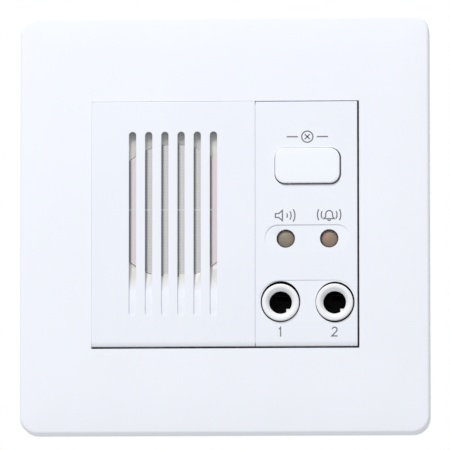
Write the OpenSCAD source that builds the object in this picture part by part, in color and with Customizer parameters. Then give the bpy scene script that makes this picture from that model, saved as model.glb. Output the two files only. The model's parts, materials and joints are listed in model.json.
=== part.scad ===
// Flush wall sub station for a nurse call system: cover plate, loudspeaker,
// cancel button, two lamps and two quarter-inch jack sockets.
// Millimetres. X runs to the right and Z up, seen from the front. The wall is at
// Y = 0, the face looks along -Y, and what stands in the wall box has Y above 0.

/* [Cover plate] */
// Width of the cover plate
plate_w = 117; // [113:1:122]
// Height of the cover plate
plate_h = 120; // [117:1:126]
// Distance from the wall to the flat middle of the plate
plate_depth = 8.6; // [8.2:0.2:10]
// Radius of the plate's four corners, seen from the front
plate_corner_r = 5; // [3.5:0.5:7]
// Wall of the plate's moulding
plate_wall = 2; // [1.6:0.1:2.2]
// Width of the border that slopes away from the flat middle
plate_border = 11; // [8:1:12]
// How far the face has dropped at the plate's edge
plate_border_drop = 0.3; // [0.2:0.05:0.8]
// Radius that rounds the plate's outer edge
plate_edge_r = 1.2; // [0.8:0.1:1.6]
// Gap between plate and panel on the left and above
plate_gap_near = 0.2; // [0.15:0.05:0.3]
// Gap between plate and panel on the right and below
plate_gap_far = 0.4; // [0.3:0.05:0.5]
// Thickness of the collar round the plate's opening
plate_lip_t = 1.2; // [0.8:0.1:1.4]
// How far that collar reaches back from the face
plate_lip_depth = 3.4; // [2.6:0.2:4]

/* [Plate frame and hooks] */
// How far the plate frame stays inside the plate's sides
plate_frame_inset_x = 5; // [4.5:0.5:6]
// How far the plate frame stays inside the plate's top and bottom
plate_frame_inset_z = 6; // [5:0.5:7]
// Thickness of the plate frame
plate_frame_t = 2.6; // [2:0.1:3]
// Corner radius of the plate frame
plate_frame_r = 3; // [2:0.5:4]
// Thickness of a snap hook's arm
hook_t = 1.2; // [1:0.1:1.4]
// Width of a snap hook
hook_w = 8; // [6:1:12]
// Height of the hooks above and below the middle
hook_z = 30; // [20:1:36]
// How far a barb reaches under the plate frame
hook_barb = 0.7; // [0.5:0.1:0.9]

/* [Mounting frame] */
// Width of the steel mounting frame
frame_w = 100; // [97:1:101]
// Height of the steel mounting frame
frame_h = 104; // [98:1:106]
// Thickness of the frame's sheet
frame_t = 1.2; // [1:0.1:1.4]
// Corner radius of the frame
frame_r = 4; // [3:0.5:6]
// Spacing of the wall box's screws across
box_screw_x = 46; // [44:0.5:48]
// Spacing of the wall box's screws up and down
box_screw_z = 83.5; // [82:0.5:86]
// Half the width of a box screw's slot
box_slot_r = 2.4; // [2.1:0.1:2.6]
// Length of a box screw's slot
box_slot_l = 9; // [7:0.5:10]
// How far the folded side tabs reach into the wall box
frame_tab_l = 8; // [4:1:12]
// Height of the folded side tabs
frame_tab_h = 30; // [20:2:36]

/* [Front panels] */
// Width of the speaker panel and control panel together
panel_w = 76; // [76:1:79]
// Height of both panels
panel_h = 70; // [69:0.5:71]
// How far the panels stand out of the plate
panel_proud = 0.4; // [0.2:0.1:0.8]
// Thickness of the panels' front wall
panel_wall = 2.4; // [2.2:0.1:2.6]
// Thickness of the panels' side walls
skirt_wall = 1.4; // [1.2:0.1:1.6]
// Place of the seam between the two panels
seam_x = 8.8; // [8.4:0.1:9.2]
// Width of that seam
seam_gap = 0.12; // [0.1:0.02:0.2]
// Height of the bevel along the panels' lower edge
foot_bevel_h = 1.3; // [0.8:0.1:1.6]
// Depth of that bevel
foot_bevel_d = 0.6; // [0.3:0.1:0.8]

/* [Loudspeaker grille] */
// Number of slots
slot_count = 6; // [4:1:7]
// Width of a slot
slot_w = 2.06; // [1.8:0.02:2.6]
// Distance from slot to slot
slot_pitch = 4.63; // [4.2:0.01:4.9]
// Length of a slot
slot_l = 52.6; // [50:0.2:55]
// Depth of a slot where its floor is deep
slot_depth = 1.8; // [1.7:0.05:1.9]
// Depth of a slot along its shallow lower end
slot_shallow = 0.55; // [0.4:0.05:0.8]
// Height at which the floor starts to rise
slot_ramp_top_z = -13.2; // [-15:0.2:-12]
// Height at which the floor has risen
slot_ramp_foot_z = -19.2; // [-21:0.2:-18]
// Thickness of the bars in front of the loudspeaker
grille_bar_t = 1.6; // [1.5:0.05:1.65]
// Radius of the round window behind the bars
window_r = 19.2; // [18.8:0.1:19.4]
// Height of the window's middle above the panel's middle
window_z = 3.9; // [3:0.1:4.2]
// Height of the thin rib across the slots
cross_rib_h = 0.5; // [0.4:0.1:0.8]
// How far the rib lies behind the face
cross_rib_setback = 0.6; // [0.4:0.1:0.8]
// Height of the cross rib above the window's middle
cross_rib_up = 0.8; // [0:0.1:1.2]

/* [Cancel button] */
// Width of the button
button_w = 18.4; // [16:0.2:19]
// Height of the button
button_h = 10; // [9.6:0.2:10.6]
// Corner radius of the button
button_r = 2.8; // [2:0.2:3.4]
// How far the button stands out of the panel
button_proud = 0.8; // [0.4:0.1:1]
// Gap all round the button
button_gap = 0.3; // [0.2:0.05:0.4]
// Wall of the button's cap
button_wall = 1.5; // [1.3:0.1:1.6]
// How far the button's retaining flange reaches past its sides
button_flange = 1.3; // [0.8:0.1:1.5]
// Thickness of the retaining flange
button_flange_t = 1; // [0.8:0.1:1.2]
// Distance that the button travels
button_travel = 1; // [0.6:0.1:1.1]
// Height of the button above the panel's middle
button_z = 16.6; // [16:0.2:17]
// Radius of the button's stem
button_stem_r = 2; // [1.8:0.1:2.1]
// Radius of the spring's wire
spring_wire_r = 0.22; // [0.18:0.02:0.26]
// Number of the spring's turns
spring_turns = 5; // [4:1:6]

/* [Switch] */
// Side of the switch's square body
switch_w = 12; // [11:0.5:12.5]
// Height of the switch's body
switch_t = 3.4; // [3:0.1:3.6]
// Radius of the switch's plunger
plunger_r = 1.7; // [1.5:0.1:1.8]
// How far the plunger stands out of the switch
plunger_proud = 3.4; // [2.8:0.1:3.8]
// Thickness of the switch's floor under the plunger
switch_floor_t = 0.6; // [0.4:0.1:0.8]
// Radius of a switch pin
switch_pin_r = 0.4; // [0.3:0.05:0.5]

/* [Lamps] */
// Radius of a lamp
lamp_r = 2.5; // [2.2:0.1:2.6]
// Length of a lamp's body
lamp_l = 8.6; // [8.2:0.1:9]
// Radius of the ball that a lamp's dome is cut from
lamp_dome_r = 4; // [3.2:0.2:6]
// Gap round a lamp in the panel
lamp_gap = 0.15; // [0.1:0.05:0.3]
// How far a lamp's flange reaches past its body
lamp_flange = 0.4; // [0.3:0.1:0.5]
// Thickness of a lamp's flange
lamp_flange_t = 1; // [0.8:0.1:1.2]
// Spacing of the two lamps
lamp_spacing = 12.4; // [11:0.2:13]
// Height of the lamps against the panel's middle
lamp_z = -4.3; // [-5:0.1:-4]
// Height of a lamp's spacer on its board
lamp_spacer_l = 1.5; // [1.2:0.1:2]
// Radius of a lamp's wire
lamp_wire_r = 0.28; // [0.22:0.02:0.32]
// Spacing of a lamp's two wires
lamp_wire_pitch = 2.54; // [2.2:0.02:2.8]
// Width of the shallow field round the lamps
lamp_field_w = 24.2; // [23:0.2:25]
// Height of that field
lamp_field_h = 8; // [7:0.2:9]
// Corner radius of that field
lamp_field_r = 3.7; // [3:0.1:3.9]
// Depth of that field
lamp_field_d = 0.3; // [0.2:0.05:0.4]

/* [Jack sockets] */
// Spacing of the two sockets
jack_spacing = 15.4; // [15:0.1:15.6]
// Height of the sockets against the panel's middle
jack_z = -22.4; // [-22.8:0.1:-22]
// Radius of the bore for the plug's shank
jack_bore_r = 3.25; // [3.2:0.01:3.3]
// Length of the bore's narrow land behind the lead-in
jack_land_l = 1.6; // [1.2:0.1:2]
// How much wider the bore is behind the land
jack_relief = 0.45; // [0.3:0.05:0.5]
// Radius of the nose that shows in the panel
jack_nose_r = 5.5; // [5:0.1:5.6]
// How far the nose stands out of the panel
jack_proud = 0.7; // [0.3:0.1:0.8]
// Gap round the nose in the panel
jack_gap = 0.35; // [0.25:0.05:0.4]
// Radius of the countersunk lead-in at the face
jack_lead_r = 4.2; // [4:0.1:4.6]
// Depth of that lead-in
jack_lead_d = 0.9; // [0.6:0.1:1.2]
// Width and height of a jack's body behind the panel
jack_body_w = 13; // [12.8:0.1:13.2]
// Wall of the jack's body round its contact chamber
jack_wall = 1.4; // [1.2:0.1:1.6]
// Length of the plug's shank that a socket takes
plug_l = 30.2; // [29.6:0.2:31]
// Depth of the shallow field round the two sockets
jack_field_d = 0.2; // [0.15:0.05:0.3]
// How far that field reaches past the noses' holes
jack_field_rim = 0.35; // [0.3:0.05:0.5]

/* [Jack contacts] */
// Thickness of the contacts' strip
strip_t = 0.3; // [0.25:0.01:0.35]
// Width of a sleeve spring
sleeve_strip_w = 1.6; // [1.2:0.1:2]
// Width of a tip spring and of a break contact
tip_strip_w = 2.6; // [2:0.1:3]
// How far the springs reach into the plug's path
contact_bite = 0.65; // [0.4:0.05:0.8]
// Side on which the sleeve spring lies, as an angle about the socket
sleeve_angle = -47; // [-50:1:-40]
// Distance of the sleeve spring's nose behind the land
sleeve_nose_y = 1.4; // [1.4:0.1:2]
// Gap between the plug and the sleeve spring's straight leaf
sleeve_leaf_gap = 0.65; // [0.5:0.05:0.7]
// Wall of the nose outside the sleeve spring's slot
contact_slot_wall = 0.4; // [0.3:0.05:0.5]
// Length of the contacts' solder tags behind the body
tag_l = 2.3; // [2:0.1:2.5]
// Width of the solder tags
tag_w = 1; // [0.8:0.1:1.2]

/* [Unit case] */
// How far the case stands out past the panels at each side
case_side_out = 2.5; // [2.4:0.1:3]
// How far the case stays inside the panels at top and bottom
case_end_in = 1; // [0.8:0.1:1.2]
// Wall of the case
case_wall = 1.6; // [1.4:0.1:1.8]
// Thickness of the case's front plate and ears
case_front_t = 2; // [1.8:0.1:2.2]
// Width of each ear at the side of the case
case_ear_w = 6.5; // [6.2:0.1:6.8]
// How far the front plate reaches past the panels' top and bottom
case_front_out = 1; // [0.6:0.1:1.4]
// Width of the shelf at the top that the panels are screwed to
case_shelf_h = 7; // [6.6:0.1:7.4]
// Width of the ledge at the bottom that the panels hook behind
case_ledge_h = 2; // [1.8:0.1:2.2]
// Distance from the wall to the back of the case's walls
case_back_y = 30; // [29:0.5:34]
// Side of the square posts and corner bosses
case_boss_w = 6; // [5.6:0.1:6.4]
// Length of the corner bosses for the rear cover
case_boss_l = 4.8; // [4.7:0.1:5]
// Thickness of the rear cover
cover_t = 1.6; // [1.4:0.1:2]
// Height of the rim on the rear cover
cover_rim_h = 1.4; // [1:0.1:1.8]
// Thickness of that rim
cover_rim_t = 1.2; // [1:0.1:1.4]

/* [Loudspeaker] */
// Radius of the loudspeaker's basket
speaker_r = 18.9; // [18.6:0.05:18.95]
// Depth of the basket's straight rim
speaker_rim_d = 2.1; // [1.9:0.1:2.2]
// Width of the basket's flange
speaker_flange_w = 1.8; // [1.6:0.1:2]
// Depth of the basket behind its rim
speaker_cup_d = 5.9; // [5.4:0.1:6.4]
// Radius of the magnet
magnet_r = 11; // [10.5:0.1:11.4]
// Thickness of the magnet
magnet_t = 4; // [3.6:0.1:4.4]
// Radius of the top plate and the yoke's back plate
pole_plate_r = 10; // [9.6:0.1:10.2]
// Thickness of the top plate and the yoke's back plate
pole_plate_t = 2; // [1.6:0.1:2.2]
// Radius of the yoke's pole
pole_r = 4.7; // [4.5:0.1:4.8]
// Wall of the voice coil's former
former_t = 0.2; // [0.15:0.01:0.22]
// Thickness of the voice coil's winding
winding_t = 0.3; // [0.25:0.01:0.32]
// Gap on each side of the moving coil
coil_gap = 0.3; // [0.25:0.01:0.32]
// Distance that the cone travels each way
cone_travel = 0.5; // [0.3:0.1:0.5]
// Thickness of the cone's paper
cone_t = 0.35; // [0.3:0.01:0.4]
// Radius of the cone where the surround holds it
cone_r = 14.2; // [13.6:0.1:14.4]
// Thickness of the cloth behind the grille
cloth_t = 0.3; // [0.2:0.05:0.4]
// Thickness of the foam gasket
gasket_t = 0.8; // [0.7:0.05:0.9]
// Wall of the ring that holds the loudspeaker in the panel
speaker_ring_t = 1.6; // [1.4:0.1:1.7]

/* [Boards and parts on them] */
// Thickness of both circuit boards
board_t = 1.6; // [1.4:0.1:1.8]
// Width of the front board
front_board_w = 22.8; // [22.6:0.1:23]
// Height of the front board
front_board_h = 37.6; // [37.4:0.1:38]
// Width of the main board's side clearance in the case
board_gap = 0.5; // [0.4:0.1:0.7]
// Length of the terminal block
terminal_w = 40; // [38:1:42]
// Height of the terminal block
terminal_h = 10; // [9.4:0.2:10.4]
// Depth of the terminal block
terminal_d = 9.4; // [9:0.1:10]
// Number of terminals
terminal_count = 8; // [6:1:8]
// Width of the transformer's core
core_w = 20; // [18:0.5:21]
// Height of the transformer's core
core_h = 15; // [14:0.5:16]
// Depth of the transformer's core
core_d = 12; // [11:0.5:12.5]
// Width of the relay
relay_w = 20; // [18:0.5:20.5]
// Height of the relay
relay_h = 10; // [9:0.5:10.5]
// Depth of the relay
relay_d = 10.5; // [9.5:0.1:10.8]
// Radius of the supply capacitor
supply_cap_r = 4; // [3.5:0.1:4.2]
// Length of the supply capacitor
supply_cap_l = 11.5; // [10:0.5:12]
// Radius of the coupling capacitor
coupling_cap_r = 2.5; // [2.2:0.1:2.8]
// Length of the coupling capacitor
coupling_cap_l = 8; // [7:0.5:9]

/* [Screws] */
// Radius of a panel screw's thread
small_screw_r = 1.05; // [1:0.05:1.1]
// Radius of a small screw's head
small_head_r = 2.1; // [1.9:0.1:2.2]
// Radius of a frame screw's thread
frame_screw_r = 1.45; // [1.3:0.05:1.5]
// Radius of a frame screw's head
frame_head_r = 2.3; // [2.2:0.1:2.4]
// Height of every screw's head
head_t = 1.3; // [1.1:0.1:1.4]

/* [Hidden] */

// Facets on round pieces, and on swept wires
$fn = 64;
wire_sides = 6;
lead_sides = 8;
// Overrun that lets a cut pass its face
over = 0.5;
// How deep a rib or boss is rooted in the wall that carries it
root_in = 0.4;
// Play of a piece that is dropped into its place
fit_gap = 0.1;
// Play of a loose piece in its window
loose_gap = 0.4;
// Play round a screw's thread in the hole that it cuts, and in a plain hole
thread_gap = 0.05;
hole_gap = 0.25;
// Play of the plunger in its switch
plunger_gap = 0.08;
// Length of a screw head's cross recess, as a share of the head's radius
recess_share = 1.2;
// Steps along the plate's sloping border and round its edge
crown_steps = 5;
edge_steps = 3;

// Depths of the main planes, counted from the wall
plate_face_y = -plate_depth;
panel_face_y = plate_face_y - panel_proud;
panel_back_y = panel_face_y + panel_wall;
case_back_of_front_y = -frame_t;
case_face_y = case_back_of_front_y - case_front_t;

// Sizes of the case, from the panels that it carries
case_w = panel_w + 2 * case_side_out;
case_h = panel_h - 2 * case_end_in;
case_in_w = case_w - 2 * case_wall;
case_in_h = case_h - 2 * case_wall;
case_front_w = case_w + 2 * case_ear_w;
case_front_h = panel_h + 2 * case_front_out;
case_window_top = case_in_h / 2 - case_shelf_h;
case_window_foot = -case_in_h / 2 + case_ledge_h;
case_window_half = case_in_w / 2 - case_boss_w + fit_gap;

// Sizes of the plate frame, from the plate round it and the case inside it
plate_frame_w = plate_w - 2 * plate_frame_inset_x;
plate_frame_h = plate_h - 2 * plate_frame_inset_z;
plate_frame_face_y = -frame_t - plate_frame_t;
plate_screw_inset_x = 12;
plate_screw_inset_z = 7;
plate_screw_x = frame_w / 2 - plate_screw_inset_x;
plate_screw_z = frame_h / 2 - plate_screw_inset_z;
unit_screw_x = case_w / 2 + case_ear_w / 2;
unit_screw_inset = 12;
unit_screw_z = case_front_h / 2 - unit_screw_inset;
box_screw_head_r = 5;

// Middles of the speaker zone and the control zone
speaker_x = (seam_x - panel_w / 2) / 2;
control_shift = 0.3;
control_x = (seam_x + panel_w / 2) / 2 + control_shift;
jack_xs = [control_x - jack_spacing / 2, control_x + jack_spacing / 2];
lamp_xs = [control_x - lamp_spacing / 2, control_x + lamp_spacing / 2];

// Screws that hold the panels to the case's shelf, and hooks at their foot
panel_screw_z = (case_window_top + case_in_h / 2) / 2 - fit_gap;
panel_screw_inset = 7.6;
panel_hook_inset = 8.6;
panel_screw_xs = [
    -panel_w / 2 + panel_screw_inset, seam_x - panel_screw_inset / 2,
    seam_x + panel_screw_inset / 2, panel_w / 2 - panel_screw_inset
];
panel_boss_r = 2.4;
panel_hook_w = 6;
panel_hook_t = 1;
panel_hook_barb = 1.1;
speaker_hook_xs = [-panel_w / 2 + panel_hook_inset, seam_x - panel_hook_inset];

// The loudspeaker, from the cloth back to the yoke
window_face_y = panel_face_y + grille_bar_t;
cloth_back_y = window_face_y + cloth_t;
gasket_back_y = cloth_back_y + gasket_t;
surround_t = 0.2;
rim_face_y = gasket_back_y + surround_t;
rim_back_y = rim_face_y + speaker_rim_d - surround_t;
basket_t = 0.8;
cup_back_y = rim_back_y + speaker_cup_d;
magnet_face_y = cup_back_y + pole_plate_t;
magnet_back_y = magnet_face_y + magnet_t;
yoke_back_y = magnet_back_y + pole_plate_t;
former_in_r = pole_r + coil_gap;
former_out_r = former_in_r + former_t;
coil_out_r = former_out_r + winding_t;
gap_out_r = coil_out_r + coil_gap;
winding_half = 1.4;
winding_y = cup_back_y + pole_plate_t / 2;
former_l_out = 3.8;
former_face_y = cup_back_y - former_l_out;
cone_rim_setback = 0.3;
cone_rim_y = rim_face_y + cone_rim_setback;
surround_lap = 0.2;
surround_in_r = cone_r - surround_lap;
surround_out_r = speaker_r - speaker_flange_w;
spider_stand = 1.6;
spider_y = cup_back_y - spider_stand;
spider_t = 0.3;
spider_seat_w = 1.4;
strip_tab_l = 3.2;
strip_tab_w = 9;
strip_h = 2.9;
strip_r = pole_plate_r + spider_seat_w + basket_t + strip_tab_l - strip_h / 2;
clamp_angles = [45, 135, 270];
basket_window_angles = [45, 135, 225, 315];
roll_depth_share = 0.6;
roll_steps = 8;
glue_gap = 0.05;
cap_overhang = 0.9;
cap_h = 2;
cap_t = 0.3;
cap_steps = 6;
neck_setback = 0.8;
clamp_screw_out = 4.4;
clamp_screw_r = speaker_r + clamp_screw_out;
clamp_boss_r = 2.2;
clamp_head_r = 1.7;
board_head_r = 1.9;
clamp_t = 0.8;
clamp_w = 4;
clamp_reach = 1.6;

// The front board and what stands on it
lamp_face_y = panel_face_y + lamp_field_d + fit_gap;
lamp_base_y = lamp_face_y + lamp_l;
front_board_y = lamp_base_y + lamp_spacer_l;
front_board_back_y = front_board_y + board_t;
front_board_rim = 1.4;
front_board_z = button_z + switch_w / 2 + front_board_rim - front_board_h / 2;
board_screw_inset = 3;
board_screw_lift = 2;
board_screw_z = (button_z - button_h / 2 - button_flange + lamp_z) / 2 + board_screw_lift;
board_foot_inset = 2.6;
board_foot_z = front_board_z - front_board_h / 2 + board_foot_inset;
post_w = 5;
front_board_play = 0.34;
front_board_left_x = seam_x + seam_gap / 2 + skirt_wall + front_board_play;
front_board_right_x = case_in_w / 2 - post_w - board_gap;
front_board_x = (front_board_left_x + front_board_right_x) / 2;
board_screw_places = [
    [front_board_x - front_board_w / 2 + board_screw_inset, board_screw_z],
    [front_board_x + front_board_w / 2 - board_screw_inset, board_screw_z],
    [control_x, board_foot_z]
];
board_boss_r = 2.2;
switch_face_y = front_board_y - switch_t;
plunger_face_y = switch_face_y - plunger_proud;
plunger_back_y = front_board_y - switch_floor_t - button_travel - 2 * fit_gap;
pin_out = 1.5;
switch_pin_x = 4.4;
switch_pin_z = 3.2;
spring_play = 0.3;
spring_r = button_stem_r + spring_play + spring_wire_r;

// The cancel button's planes
button_face_y = panel_face_y - button_proud;
button_flange_y = panel_back_y + fit_gap;
button_back_y = button_flange_y + button_flange_t;
button_inner_y = button_face_y + button_wall;

// The jacks: the body seats behind the case's front plate and on the main board
jack_face_y = panel_face_y - jack_proud;
jack_bore_face_y = jack_face_y + jack_lead_d;
jack_body_y = case_back_of_front_y + fit_gap;
jack_chamber_y = jack_body_y + jack_wall;
jack_chamber_w = jack_body_w - 2 * jack_wall;
plug_tip_gap = 0.4;
jack_floor_y = jack_face_y + plug_l + plug_tip_gap;
main_board_y = jack_floor_y + jack_wall;
main_board_back_y = main_board_y + board_t;
contact_tip_r = jack_bore_r - contact_bite;
jack_land_back_y = jack_bore_face_y + jack_land_l;
jack_relief_r = jack_bore_r + jack_relief;
contact_slot_r = jack_nose_r - contact_slot_wall;
sleeve_nose = jack_land_back_y + sleeve_nose_y;
sleeve_strip_r = jack_bore_r + sleeve_leaf_gap + strip_t / 2;
strip_wall_gap = 0.65;
tip_strip_r = jack_chamber_w / 2 - strip_wall_gap - strip_t;
tip_nose_stand = 6.4;
tip_nose = jack_floor_y - tip_nose_stand;
tag_shift = 0.8;
spring_swing_gap = 0.35;
sleeve_nose_l = 3.2;
tip_nose_l = 2.2;
leaf_tail_l = 1;
leaf_root_gap = 0.3;
break_r = tip_strip_r - fit_gap - strip_t;
break_l = 3.4;

// The main board, between four posts and four corner bosses
main_board_w = case_in_w - 2 * board_gap;
main_board_h = case_in_h - 2 * board_gap;
post_head_in = 8.4;
post_jack_gap = 4.4;
post_zs = [
    case_in_h / 2 - post_head_in,
    jack_z + jack_body_w / 2 + post_jack_gap + post_w / 2
];
post_x = case_in_w / 2 - post_w / 2;
corner_x = case_in_w / 2 - case_boss_w / 2;
corner_z = case_in_h / 2 - case_boss_w / 2;
cover_back_y = case_back_y + cover_t;
terminal_lap = 0.5;
terminal_rise = 15.4;
terminal_x = jack_xs[0] - jack_body_w / 2 + terminal_lap - terminal_w / 2;
terminal_z = -case_in_h / 2 + terminal_rise + terminal_h / 2;
connector_w = 10;
connector_h = 5;
connector_d = 5.6;
connector_x = (board_screw_places[0][0] + board_screw_places[1][0]) / 2;
connector_z = board_screw_z;

// Depth of the pilot holes in the case's posts and corner bosses
board_screw_depth = 6;
cover_screw_depth = 4.4;
tip_gap = 0.3;

vent_count = 6;
vent_w = 1.6;
vent_l = 16;
vent_pitch = 4;
vent_z = 14;

// The two speaker leads run from the terminal strip to the main board
lead_r = 0.55;
lead_pitch = 4;
lead_start_y = cup_back_y + basket_t + fit_gap / 2;
lead_end_y = main_board_y - fit_gap / 2;
lead_start_z = window_z - strip_r;
lead_steps = 4;
lead_sag_shares = [[0, 0, 0], [0.16, 0.2, 0], [0.5, 1, 0.4], [0.84, 0.2, 0.9], [1, 0, 1]];
lead_sag = 1.6;
lead_drop = 2.4;
lead_route_at = [for (s = lead_sag_shares)
    [0, lead_start_y + (lead_end_y - lead_start_y) * s[0], lead_start_z - lead_sag * s[1] - lead_drop * s[2]]];

// Angle at which the tip spring lies: straight above the plug
tip_angle = 90;

// The return spring stands on the switch, round its plunger and the button's stem
spring_foot_y = switch_face_y - spring_wire_r - fit_gap / 2;
spring_head_y = button_inner_y + spring_wire_r + fit_gap;
rings_a_turn = 12;
spring_route = [for (i = [0 : spring_turns * rings_a_turn])
    let (a = 360 * i / rings_a_turn)
    let (share = i / (spring_turns * rings_a_turn))
    [spring_r * cos(a), spring_foot_y + (spring_head_y - spring_foot_y) * share, spring_r * sin(a)]];

// The ribbon between the two connectors waves a little
ribbon_t = 0.9;
ribbon_wave = 0.7;
ribbon_steps = 8;

// The parts on the main board
transformer_x = control_x;
transformer_lift = 1.8;
transformer_z = button_z + transformer_lift;
bobbin_out = 2.4;
core_leg_share = 0.28;
core_window_share = 0.18;
core_yoke_share = 0.2;
core_leg_w = core_w * core_leg_share;
core_window_w = core_w * core_window_share;
core_window_front_y = main_board_y - core_d * (1 - core_yoke_share);
core_window_back_y = main_board_y - core_d * core_yoke_share;

relay_side = 6.9;
relay_foot = 6.4;
relay_x = -case_in_w / 2 + relay_side + relay_w / 2;
relay_z = -case_in_h / 2 + relay_foot + relay_h / 2;

supply_cap_gap = 2.4;
coupling_cap_gap = 5;
supply_cap_x = -case_in_w / 2 + post_w + supply_cap_gap + supply_cap_r;
coupling_cap_x = supply_cap_x + supply_cap_r + coupling_cap_gap + coupling_cap_r;
capacitor_z = post_zs[0];

chip_w = 10;
chip_gap = 8.5;
chip_x = coupling_cap_x + coupling_cap_r + chip_gap + chip_w / 2;
chip_z = capacitor_z;
chip_h = 6.4;
chip_t = 3.3;
chip_leg_t = 0.5;
chip_pitch = 2.54;
chip_legs = 4;

terminal_well_r = 1.9;
terminal_well_d = 3;
wire_port = 2.6;

// Rectangle with four round corners
module rounded_outline(w, h, r) {
    square([w - 2 * r, h], center = true);
    square([w, h - 2 * r], center = true);
    for (side = [-1, 1])
        for (end = [-1, 1])
            translate([side * (w / 2 - r), end * (h / 2 - r)])
                circle(r = r);
}

// Upright slot with two round ends
module slot_outline(w, l) {
    square([w, l - w], center = true);
    for (end = [-1, 1])
        translate([0, end * (l - w) / 2])
            circle(r = w / 2);
}

// Stands an outline up in the plane of the face, from one depth to another
module upright(front, back) {
    translate([0, back, 0])
        rotate([90, 0, 0])
            linear_extrude(back - front)
                children();
}

module block(w, h, front, back) {
    upright(front, back)
        square([w, h], center = true);
}

module rounded_block(w, h, r, front, back) {
    upright(front, back)
        rounded_outline(w, h, r);
}

module rod(r, front, back) {
    translate([0, back, 0])
        rotate([90, 0, 0])
            cylinder(r = r, h = back - front);
}

module tube(r_out, r_in, front, back) {
    difference() {
        rod(r_out, front, back);
        rod(r_in, front - over, back + over);
    }
}

// Turns a profile of [radius, depth] points about the line towards the wall
module turned(profile) {
    rotate([90, 0, 0])
        rotate_extrude()
            polygon([for (p = profile) [p[0], -p[1]]]);
}

module at(x, z) {
    translate([x, 0, z])
        children();
}

// A screw from behind: its head lies on the plane at seat, its thread runs forward
module screw_from_behind(thread_r, head_r, tip, seat) {
    rod(thread_r, tip, seat + over / 2);
    difference() {
        rod(head_r, seat, seat + head_t);
        block(head_r * recess_share, head_t / 3, seat + head_t / 2, seat + head_t + over);
        block(head_t / 3, head_r * recess_share, seat + head_t / 2, seat + head_t + over);
    }
}

// A screw from the front: its head lies on the plane at seat, its thread runs back
module screw_from_front(thread_r, head_r, seat, tip) {
    rod(thread_r, seat - over / 2, tip);
    difference() {
        rod(head_r, seat - head_t, seat);
        block(head_r * recess_share, head_t / 3, seat - head_t - over, seat - head_t / 2);
        block(head_t / 3, head_r * recess_share, seat - head_t - over, seat - head_t / 2);
    }
}

// Half of the plate's cross-section: flat middle, falling border, rounded edge
function crown_half(w, depth, border, drop, edge_r) =
    let (slope = atan(2 * drop / border))
    let (edge_x = w / 2 - edge_r)
    let (crown_end = edge_x + edge_r * sin(slope))
    let (edge_d = depth - drop - edge_r * cos(slope))
    concat(
        [for (i = [0 : crown_steps])
            [crown_end - border * (1 - i / crown_steps), depth - drop * pow(i / crown_steps, 2)]],
        [for (j = [1 : edge_steps])
            let (a = (90 - slope) * (1 - j / edge_steps))
            [edge_x + edge_r * cos(a), edge_d + edge_r * sin(a)]],
        [[w / 2, 0]]
    );

function crown_outline(half) = concat(
    half,
    [for (i = [len(half) - 1 : -1 : 0]) [-half[i][0], half[i][1]]]
);

module crown_prism(size, length, depth, border, drop, edge_r) {
    half = crown_half(size, depth, border, drop, edge_r);
    linear_extrude(length, center = true)
        polygon([for (p = crown_outline(half)) [p[0], -p[1]]]);
}

module crowned_block(w, h, r, depth, border, drop, edge_r) {
    intersection() {
        rounded_block(w, h, r, -depth - over, 0);
        crown_prism(w, h + 2 * over, depth, border, drop, edge_r);
        rotate([0, -90, 0])
            crown_prism(h, w + 2 * over, depth, border, drop, edge_r);
    }
}

// Opening of the plate, a little further from the panel on the right and below
module plate_opening(extra, front, back) {
    w = panel_w + plate_gap_near + plate_gap_far + 2 * extra;
    h = panel_h + plate_gap_near + plate_gap_far + 2 * extra;
    shift = (plate_gap_far - plate_gap_near) / 2;
    translate([shift, 0, -shift])
        block(w, h, front, back);
}

module plate_hooks() {
    arm_x = plate_frame_w / 2 + fit_gap * 2 + hook_t / 2;
    arm_front = -(plate_depth - plate_border_drop);
    barb_w = hook_t + fit_gap * 2 + hook_barb;
    barb_x = plate_frame_w / 2 - hook_barb + barb_w / 2;
    for (side = [-1, 1])
        for (end = [-1, 1]) {
            at(side * arm_x, end * hook_z)
                block(hook_t, hook_w, arm_front, -fit_gap);
            at(side * barb_x, end * hook_z)
                block(barb_w, hook_w, -frame_t + fit_gap, -fit_gap);
        }
}

module face_plate() {
    inner_w = plate_w - 2 * plate_wall;
    inner_h = plate_h - 2 * plate_wall;
    inner_r = plate_corner_r - plate_wall;
    color("white")
        difference() {
            union() {
                difference() {
                    crowned_block(plate_w, plate_h, plate_corner_r, plate_depth,
                        plate_border, plate_border_drop, plate_edge_r);
                    crowned_block(inner_w, inner_h, inner_r, plate_depth - plate_wall,
                        plate_border, plate_border_drop, plate_edge_r);
                    rounded_block(inner_w, inner_h, inner_r, -plate_wall, over);
                }
                plate_opening(plate_lip_t, -(plate_depth - plate_wall / 2),
                    -(plate_depth - plate_lip_depth));
                plate_hooks();
            }
            plate_opening(0, -plate_depth - over, over);
        }
}

// Room for the heads of the four screws that hold the steel frame to its box
module box_screw_room(front, back) {
    for (side = [-1, 1])
        for (end = [-1, 1])
            at(side * box_screw_x / 2, end * box_screw_z / 2) {
                rounded_block(box_slot_l + 2 * box_screw_head_r, 2 * box_screw_head_r,
                    box_screw_head_r - over, front, back);
                at(0, -end * box_screw_head_r)
                    block(box_slot_l + 2 * box_screw_head_r, 2 * box_screw_head_r, front, back);
            }
}

module plate_frame() {
    color("whitesmoke")
        difference() {
            rounded_block(plate_frame_w, plate_frame_h, plate_frame_r, plate_frame_face_y, -frame_t);
            block(case_front_w + 2 * loose_gap, case_front_h + 2 * loose_gap,
                plate_frame_face_y - over, -frame_t + over);
            box_screw_room(plate_frame_face_y - over, -frame_t + over);
            plate_screw_holes(frame_screw_r + hole_gap, plate_frame_face_y - over, -frame_t + over);
        }
}

module plate_screw_holes(r, front, back) {
    for (side = [-1, 1])
        for (end = [-1, 1])
            at(side * plate_screw_x, end * plate_screw_z)
                rod(r, front, back);
}

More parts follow.
